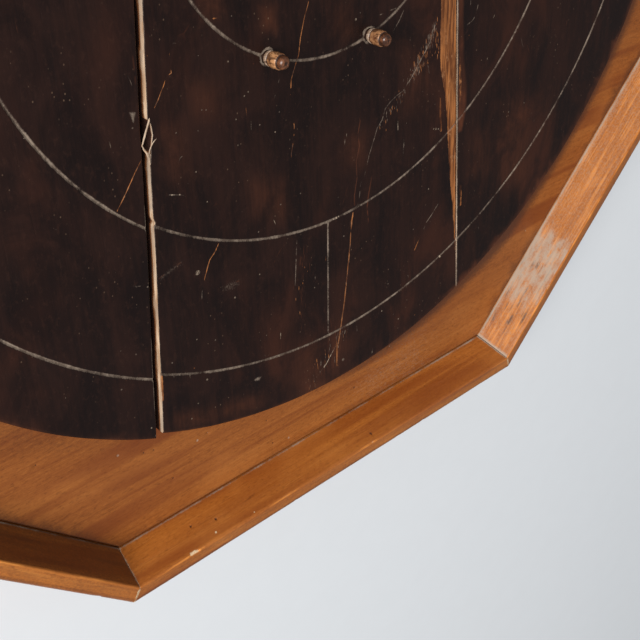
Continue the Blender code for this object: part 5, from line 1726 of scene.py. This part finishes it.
def build_base_board(k, name):
    limits = (-1000.0,) + BASE_SEAMS + (1000.0,)
    outline = octagon(-0.8)
    outline = clip(outline, 0, -1, -(limits[k] + 0.3))
    outline = clip(outline, 0, 1, limits[k + 1] - 0.3)
    loop = resample(outline, 4.0, True)
    arr = np.asarray(loop)
    lines = []
    for s in (0.2, 0.5, 0.9):
        lines.append(([tuple(p) for p in offset_loop(arr, s)], True))
    rng = np.random.RandomState(700 + k)
    for r in (316.0, 317.6, 319.2, 322.0, 327.0, 333.0, 337.0, 341.0, 345.0, 350.0, 355.0, 359.0):
        a = np.linspace(-math.pi, math.pi, 640, endpoint=False)
        pts = np.column_stack([r * np.cos(a), r * np.sin(a)])
        ok = inside(pts, [loop]) & (distance_to(pts, list(loop) + [loop[0]])[0] > 1.5)
        run = []
        for p, good in zip(pts, ok):
            if good:
                run.append(tuple(p))
            else:
                if len(run) > 2:
                    lines.append((run, False))
                run = []
        if len(run) > 2:
            lines.append((run, False))
    marks = []
    for _ in range(46):
        a, r = rng.uniform(0, 2 * math.pi), rng.uniform(320, 366)
        marks.append((r * math.cos(a), r * math.sin(a), rng.uniform(0.25, 0.7), rng.randint(3)))
    marks += [(x, y, 0.7, 1) for x, y in DITCH_MARKS]
    marks = [m for m in marks if inside(np.array([m[:2]]), [loop])[0]
             and distance_to(np.array([m[:2]]), list(loop) + [loop[0]])[0][0] > 3.0]
    for mx, my, size, kind in marks:
        lines.append((ring_points(mx, my, size, 7), True))
        lines.append((ring_points(mx, my, size * 1.7, 8), True))
    fill = jittered(-380, 380, -380, 380, 9.0, 710 + k)
    fill = fill[inside(fill, [[tuple(p) for p in offset_loop(arr, 2.5)]])]
    far = np.hypot(fill[:, 0], fill[:, 1])
    fill = fill[(far > 310) | (rng.uniform(size=len(fill)) < 0.2)]

    def edge_distance(pts):
        out = np.minimum(pts[:, 1] - limits[k] - 0.3, limits[k + 1] - 0.3 - pts[:, 1])
        for i in range(8):
            nx, ny = normal_of(i)
            out = np.minimum(out, flat_of(i) - 0.8 - pts[:, 0] * nx - pts[:, 1] * ny)
        return out

    def top_height(pts):
        d = edge_distance(pts)
        h = BASE_TOP - 0.10 + 0.08 * noise(pts[:, 0] / 150.0, pts[:, 1] / 45.0, 31)
        h = h - 0.45 * (1 - np.clip(d / 0.55, 0, 1)) ** 2
        for mx, my, size, kind in marks:
            h = h - 0.22 * np.clip(1.6 - np.hypot(pts[:, 0] - mx, pts[:, 1] - my) / size, 0, 1)
        return h

    holes, blind = [], []
    spots = [p for p in DISC_SCREWS if limits[k] < p[1] < limits[k + 1]]
    for x, y in spots:
        holes.append(ring_points(x, y, 4.6, 28))
        blind.append(countersink(x, y, BASE_BOTTOM, 4.0, 2.0, 2.0))
    if name == "base_board_top":
        holes.append(plate_outline(0.3))
        blind.append((0.0, PLATE_Y, 1.0, plate_seat))

    def low_height(pts):
        return BASE_BOTTOM + 0.05 + 0.05 * noise(pts[:, 0] / 120.0, pts[:, 1] / 40.0, 33)

    low_fill = jittered(-380, 380, -380, 380, 22.0, 720 + k)
    low_fill = low_fill[inside(low_fill, [[tuple(p) for p in offset_loop(arr, 3.0)]])]
    for x, y in spots + ([(0.0, PLATE_Y)] if name == "base_board_top" else []):
        low_fill = low_fill[np.hypot(low_fill[:, 0] - x, low_fill[:, 1] - y) > (7.0 if y != PLATE_Y else 24.0)]
    solid, n_top = slab({"loops": [loop], "lines": lines, "fill": fill, "height": top_height},
                        {"loops": holes, "fill": low_fill, "height": low_height},
                        [(0.03, 0.0), (0.35, 0.0), (0.70, 0.0), (0.97, 0.0), (1.0, 0.45)], (), blind)
    verts = solid.verts()
    n = len(verts)
    full = {key: np.zeros(n) for key in ("dust", "wear", "dark", "pale")}
    top = verts[:n_top, :2]
    r = np.hypot(top[:, 0], top[:, 1])
    # painted shadow of the disc on the ditch floor, strongest towards the lower right, and painted shade close under
    # the disc's edge all round, mixed with some grime
    side = 0.26 + 0.74 * step(top[:, 0], -60.0, 90.0) * step(top[:, 1], 60.0, -60.0)
    start = 334.0 + 0.062 * np.clip(top[:, 0], 0.0, 190.0)
    full["dark"][:n_top] += side * (0.30 * step(r, 321.5, 317.0) + 0.88 * step(r, start + 14.0, start - 2.0)) \
        + 0.25 * step(r, 319.0, 316.8) + 0.12 * step(r, 330.0, 318.0)
    d = edge_distance(top)
    full["dark"][:n_top] += 0.85 * step(d, 1.3, 0.35) + 0.12 * step(d, 6.0, 1.0)
    x, y = top[:, 0], top[:, 1]
    full["dark"][:n_top] += 0.34 * step(x, 250.0, 330.0)
    full["dark"][:n_top] += 0.24 * step(np.hypot(x - 195.0, y + 322.0), 50.0, 12.0)
    full["dust"][:n_top] += 0.25 * step(np.hypot((x - 72.0) / 1.6, y + 358.0), 50.0, 12.0) * (0.8 + 0.3 * rough_noise(x / 30.0, y / 9.0, 43))
    full["dark"][:n_top] += 0.16 * step(x, -120.0, -230.0) * step(y, -150.0, -260.0)
    for mx, my, size, kind in marks:
        s = step(np.hypot(top[:, 0] - mx, top[:, 1] - my), size * 1.6, size * 0.9)
        full[("dark", "dust", "dark")[kind]][:n_top] += s * (0.55 if kind else 0.9)
    full = {key: np.clip(v, 0, 1.2) for key, v in full.items()}
    full["grain"] = grain_layer(verts, (1.0, 0.0, 0.0), 730 + k)
    slots = [{"top": 0, "wall": 1, "bottom": 1, "hole": 1}[q] for q in solid.kind]
    finish_mesh(name.replace("base_board", "base_wood"), verts, solid.f, [DITCH_WOOD, BACK_WOOD], slots,
                full, sharp=45.0, node=name)


for _k, _name in enumerate(("base_board_bottom", "base_board_middle", "base_board_top")):
    build_base_board(_k, _name)


def build_batten(side):
    x0 = -BATTEN_X if side == "left" else BATTEN_X
    half, w = BATTEN_L / 2, BATTEN_W / 2
    loop = resample([(x0 - w, -half), (x0 + w, -half), (x0 + w, half), (x0 - w, half)], 6.0, True)
    arr = np.asarray(loop)
    fill = jittered(x0 - w, x0 + w, -half, half, 12.0, 801)
    fill = fill[(np.abs(fill[:, 0] - x0) < w - 4) & (np.abs(fill[:, 1]) < half - 4)]

    def top_height(pts):
        return np.full(len(pts), BATTEN_TOP)

    def low_height(pts):
        slope = np.maximum(0.0, np.abs(pts[:, 1]) - (half - BATTEN_SLOPE))
        wave = 0.10 + 0.10 * noise(pts[:, 0] / 30.0, pts[:, 1] / 90.0, 35)
        return np.minimum(slope + wave, BATTEN_SLOPE + 0.2)

    lines = []
    for y in (-half + BATTEN_SLOPE, half - BATTEN_SLOPE):
        for d in (-0.5, 0.0, 0.5):
            xs = np.arange(x0 - w + 2.0, x0 + w - 1.9, 3.0)
            lines.append(([(float(x), y + d) for x in xs], False))
    holes, blind = [], []
    for x, y in BATTEN_SCREWS:
        if abs(x - x0) < 1:
            holes.append(ring_points(x, y, 4.6, 28))
            blind.append(countersink(x, y, 0.0, 4.0, 2.0, 2.0))
            fill = fill[np.hypot(fill[:, 0] - x, fill[:, 1] - y) > 7.0]
    solid, n_top = slab({"loops": [loop], "fill": fill, "height": top_height},
                        {"loops": holes, "lines": lines, "fill": fill, "height": low_height},
                        [(0.03, 0.0), (0.3, 0.0), (0.6, 0.0), (0.90, 0.0), (0.97, 0.35), (1.0, 1.1)], (), blind)
    verts = solid.verts()
    full = {key: np.zeros(len(verts)) for key in ("dust", "wear", "dark", "pale")}
    edge = np.minimum(np.abs(np.abs(verts[:, 0] - x0) - w), 5.0)
    full["wear"] = 0.5 * step(edge, 2.0, 0.4) * (verts[:, 2] < 3.0)
    full["grain"] = grain_layer(verts, (0.0, 1.0, 0.0), 810 + (side == "left"))
    finish_mesh("batten_wood_" + side, verts, solid.f, [BATTEN_WOOD], None, full, sharp=40.0,
                node="batten_" + side)


build_batten("left")
build_batten("right")


# ------------------------------------------------------------------- hardware
def build_screw(name, node, x, y, z, head_r, shank_r, length, turn, mat):
    """Countersunk slotted screw, head down at height z."""
    half, deep = head_r * 0.14, head_r * 0.20
    loop = ring_points(0.0, 0.0, head_r - 0.12, 36)
    lines = []
    for v in (-half, -half + 0.10, half - 0.10, half):
        lines.append(([(-head_r * 1.2, v), (head_r * 1.2, v)], False))
    for r in (head_r - 0.3, head_r * 0.62, head_r * 0.32):
        lines.append((ring_points(0.0, 0.0, r, 30), True))
    tv, tf, _, _ = triangulate([loop], lines, [(0.0, 0.0)])
    slot_mask = step(half - np.abs(tv[:, 1]), 0.0, 0.10)
    r = np.hypot(tv[:, 0], tv[:, 1])
    wear = 0.05 * noise(tv[:, 0] * 0.9 + x, tv[:, 1] * 0.9 + y, 901)
    height = -0.10 * (r / head_r) ** 2 + wear * (1 - slot_mask) - deep * slot_mask
    solid = Solid()
    solid.points(np.column_stack([tv, height]))
    for f in tf:
        solid.face(tuple(int(i) for i in f), "top")
    ring = chains(tf)[0]
    pts = tv[ring] / np.hypot(tv[ring][:, 0], tv[ring][:, 1])[:, None]
    last, z_last = ring, height[ring]
    cone = head_r - shank_r
    for rr, zz in ((head_r, -0.22), (head_r, -0.42), (shank_r + 0.02, -0.42 - cone), (shank_r, -0.8 - cone),
                   (shank_r, -length + 2.2 * shank_r), (shank_r * 0.35, -length + 0.2)):
        now_z = np.minimum(zz, z_last - 0.03)
        start = solid.points(np.column_stack([pts * rr, now_z]))
        now = list(range(start, start + len(ring)))
        solid.strip(last, now, "side")
        last, z_last = now, now_z
    tip = solid.points([(0.0, 0.0, -length)])
    for k in range(len(last)):
        solid.face((last[(k + 1) % len(last)], last[k], tip), "side")
    v = solid.verts()
    c, s = math.cos(turn), math.sin(turn)
    out = np.column_stack([x + v[:, 0] * c - v[:, 1] * s, y + v[:, 0] * s + v[:, 1] * c, z - v[:, 2]])
    grain = np.column_stack([v[:, 0], v[:, 1], v[:, 2]]) / 1000.0 + 3.0 + x / 900.0 + y / 700.0
    finish_mesh(name, out, outward(out, solid.f), [mat], None, {"grain": grain}, sharp=32.0,
                node=node)


_turns = random.Random(61)
for _k, (_x, _y) in enumerate(BATTEN_SCREWS):
    build_screw("screw_batten_%d" % (_k + 1), "batten_screw_%d" % (_k + 1), _x, _y, 0.3, 4.0, 2.0, 30.0,
                _turns.uniform(0, 3.1), STEEL)
for _k, (_x, _y) in enumerate(DISC_SCREWS):
    build_screw("screw_base_%d" % (_k + 1), "disc_screw_%d" % (_k + 1), float(_x), float(_y), 18.3, 4.0, 2.0,
                30.0, _turns.uniform(0, 3.1), STEEL)
for _k, (_x, _y) in enumerate(HANGER_SCREWS):
    build_screw("screw_hanger_%d" % (_k + 1), "hanger_screw_%d" % (_k + 1), _x, _y, 18.4, 2.6, 1.3, 12.5,
                _turns.uniform(0, 3.1), BRASS)


def build_nail(index, number):
    """Nail with a domed head, set just below the rail's outer face."""
    nx, ny = normal_of(index)
    tx, ty = -ny, nx
    a, b = corner((index - 1) % 8, 0.0), corner(index, 0.0)
    along = ((a[0] + b[0]) * tx + (a[1] + b[1]) * ty) / 2 + NAIL_ALONG[number]
    out = flat_of(index) + RAIL_FOOT
    n = 26
    profile = [(0.0, 0.28), (0.7, 0.29), (1.4, 0.36), (1.95, 0.50), (2.22, 0.70), (2.30, 0.95), (2.24, 1.20),
               (1.95, 1.36), (1.28, 1.42), (1.20, 1.8), (1.20, 34.4), (0.25, 38.3), (0.0, 38.4)]
    verts, rings = [], []
    for r, d in profile:
        count = 1 if r < 1e-6 else n
        rings.append((len(verts), count))
        for k in range(count):
            t = 2 * math.pi * k / n
            rr = r * (1.0 + 0.035 * float(noise(t * 1.1 + index, number * 3.0, 911))) if d < 1.4 else r
            h = d + (0.05 * float(noise(math.cos(t) * 2 + index, math.sin(t) * 2 + number, 913)) if d < 0.9 else 0.0)
            u, w = rr * math.cos(t), rr * math.sin(t)
            verts.append((nx * (out - h) + tx * (along + u), ny * (out - h) + ty * (along + u), NAIL_Z + w))
    faces = []
    for (s0, c0), (s1, c1) in zip(rings, rings[1:]):
        for k in range(n):
            m = (k + 1) % n
            if c0 == 1:
                faces.append((s0, s1 + m, s1 + k))
            elif c1 == 1:
                faces.append((s0 + k, s0 + m, s1))
            else:
                faces.append((s0 + k, s0 + m, s1 + m, s1 + k))
    v = np.asarray(verts)
    grain = v / 1000.0 + 2.0
    finish_mesh("nail_%s_%d" % (SIDES[index], number + 1), v, outward(v, faces), [IRON], None,
                {"grain": grain}, sharp=45.0, node="rail_nail_%s_%d" % (SIDES[index], number + 1))


for _k in range(8):
    for _n in range(2):
        build_nail(_k, _n)


def build_plate():
    """Brass keyhole plate let into the back of the top board."""
    hole = []
    start = math.degrees(math.asin(2.3 / 4.5))
    for k in range(25):
        a = math.radians(90.0 + start + (360.0 - 2 * start) * k / 24)
        hole.append((4.5 * math.cos(a), PLATE_Y - 3.0 + 4.5 * math.sin(a)))
    for k in range(13):
        a = math.radians(15.0 * k)
        hole.append((2.3 * math.cos(a), PLATE_Y + 7.0 + 2.3 * math.sin(a)))
    loop = resample(plate_outline(-0.05), 1.6, True)
    holes, blind = [], []
    for x, y in HANGER_SCREWS:
        holes.append(ring_points(x, y, 2.95, 26))
        blind.append((x, y, 2.95, [(2.90, 18.42), (1.75, 19.55), (1.70, 19.75)]))

    def top_height(pts):
        return np.full(len(pts), 19.9)

    def low_height(pts):
        return np.full(len(pts), 18.3) + 0.02 * noise(pts[:, 0] / 5.0, pts[:, 1] / 5.0, 921)

    fill = jittered(-8, 8, PLATE_Y - 20, PLATE_Y + 20, 2.6, 923)
    arr = np.asarray(loop)
    ok = inside(fill, [[tuple(p) for p in offset_loop(arr, 1.2)]]) & ~inside(fill, [hole]) \
        & (distance_to(fill, hole + [hole[0]])[0] > 0.9)
    fill = fill[ok]
    for x, y in HANGER_SCREWS:
        fill = fill[np.hypot(fill[:, 0] - x, fill[:, 1] - y) > 3.6]
    solid, n_top = slab({"loops": [loop, hole], "fill": fill, "height": top_height},
                        {"loops": holes, "fill": fill, "height": low_height},
                        [(0.12, 0.0), (0.80, 0.0), (0.93, 0.08), (1.0, 0.28)], (), blind)
    verts = solid.verts()
    grain = verts / 1000.0 + 1.5
    finish_mesh("plate_keyhole", verts, solid.f, [BRASS], None, {"grain": grain}, sharp=32.0,
                node="hanger_plate")


build_plate()


# --------------------------------------------------- floor, light and camera
def build_floor():
    s = Shader("floor_pale")
    where = s.new("ShaderNodeTexCoord").outputs["Object"]
    grit = s.noise(s.scaled(where, (40.0, 40.0, 40.0)), 1.0, 4.0, 0.6)
    colour = s.mix(s.remap(grit, 0.3, 0.7), (0.722, 0.752, 0.782), (0.730, 0.760, 0.790))
    mat = s.finish(colour, 0.88, s.bump(grit, 0.00005, 0.08), specular=0.12)
    bm = bmesh.new()
    bmesh.ops.create_grid(bm, x_segments=8, y_segments=8, size=4.0)
    mesh = bpy.data.meshes.new("floor_plane")
    bm.to_mesh(mesh)
    bm.free()
    mesh.materials.append(mat)
    floor = bpy.data.objects.new("floor_plane", mesh)
    bpy.context.scene.collection.objects.link(floor)
    floor.location = (0.0, 0.0, -0.0002)


build_floor()

world = bpy.data.worlds.new("studio")
bpy.context.scene.world = world
world.use_nodes = True
tree = world.node_tree
background = tree.nodes["Background"]
coords = tree.nodes.new("ShaderNodeTexCoord")
dot = tree.nodes.new("ShaderNodeVectorMath")
dot.operation = "DOT_PRODUCT"
tree.links.new(coords.outputs["Generated"], dot.inputs[0])
dot.inputs[1].default_value = (-0.62, 0.28, 0.73)
ramp = tree.nodes.new("ShaderNodeMapRange")
ramp.inputs[1].default_value = -0.6
ramp.inputs[2].default_value = 1.0
ramp.inputs[3].default_value = 0.15
ramp.inputs[4].default_value = 0.46
tree.links.new(dot.outputs["Value"], ramp.inputs[0])
tree.links.new(ramp.outputs[0], background.inputs["Strength"])
background.inputs["Color"].default_value = (0.97, 0.98, 1.0, 1.0)


def area_light(name, place, target, size, power, colour):
    data = bpy.data.lights.new(name, "AREA")
    data.shape = "DISK"
    data.size = size
    data.energy = power
    data.color = colour
    light = bpy.data.objects.new(name, data)
    bpy.context.scene.collection.objects.link(light)
    light.location = place
    light.rotation_euler = (Vector(target) - Vector(place)).to_track_quat("-Z", "Y").to_euler()
    return light


area_light("key_window", (-3.05, 0.85, 2.50), (0.0, -0.15, 0.0), 2.5, 206.0, (1.0, 0.985, 0.965))

camera_data = bpy.data.cameras.new("camera")
camera_data.sensor_width = 36.0
camera_data.lens = FOCAL_PX / SIDE_PX * 36.0
camera_data.clip_start = 0.02
camera_data.clip_end = 30.0
camera = bpy.data.objects.new("camera", camera_data)
bpy.context.scene.collection.objects.link(camera)
rows = [(RIGHT[i], -DOWN[i], -AXIS[i], EYE[i]) for i in range(3)] + [(0.0, 0.0, 0.0, 1.0)]
camera.matrix_world = Matrix(rows)
bpy.context.scene.camera = camera

bpy.context.scene.view_settings.view_transform = "Standard"
bpy.context.scene.view_settings.look = "None"
bpy.context.scene.view_settings.exposure = 0.0
bpy.context.scene.view_settings.gamma = 1.0

bpy.context.view_layer.update()
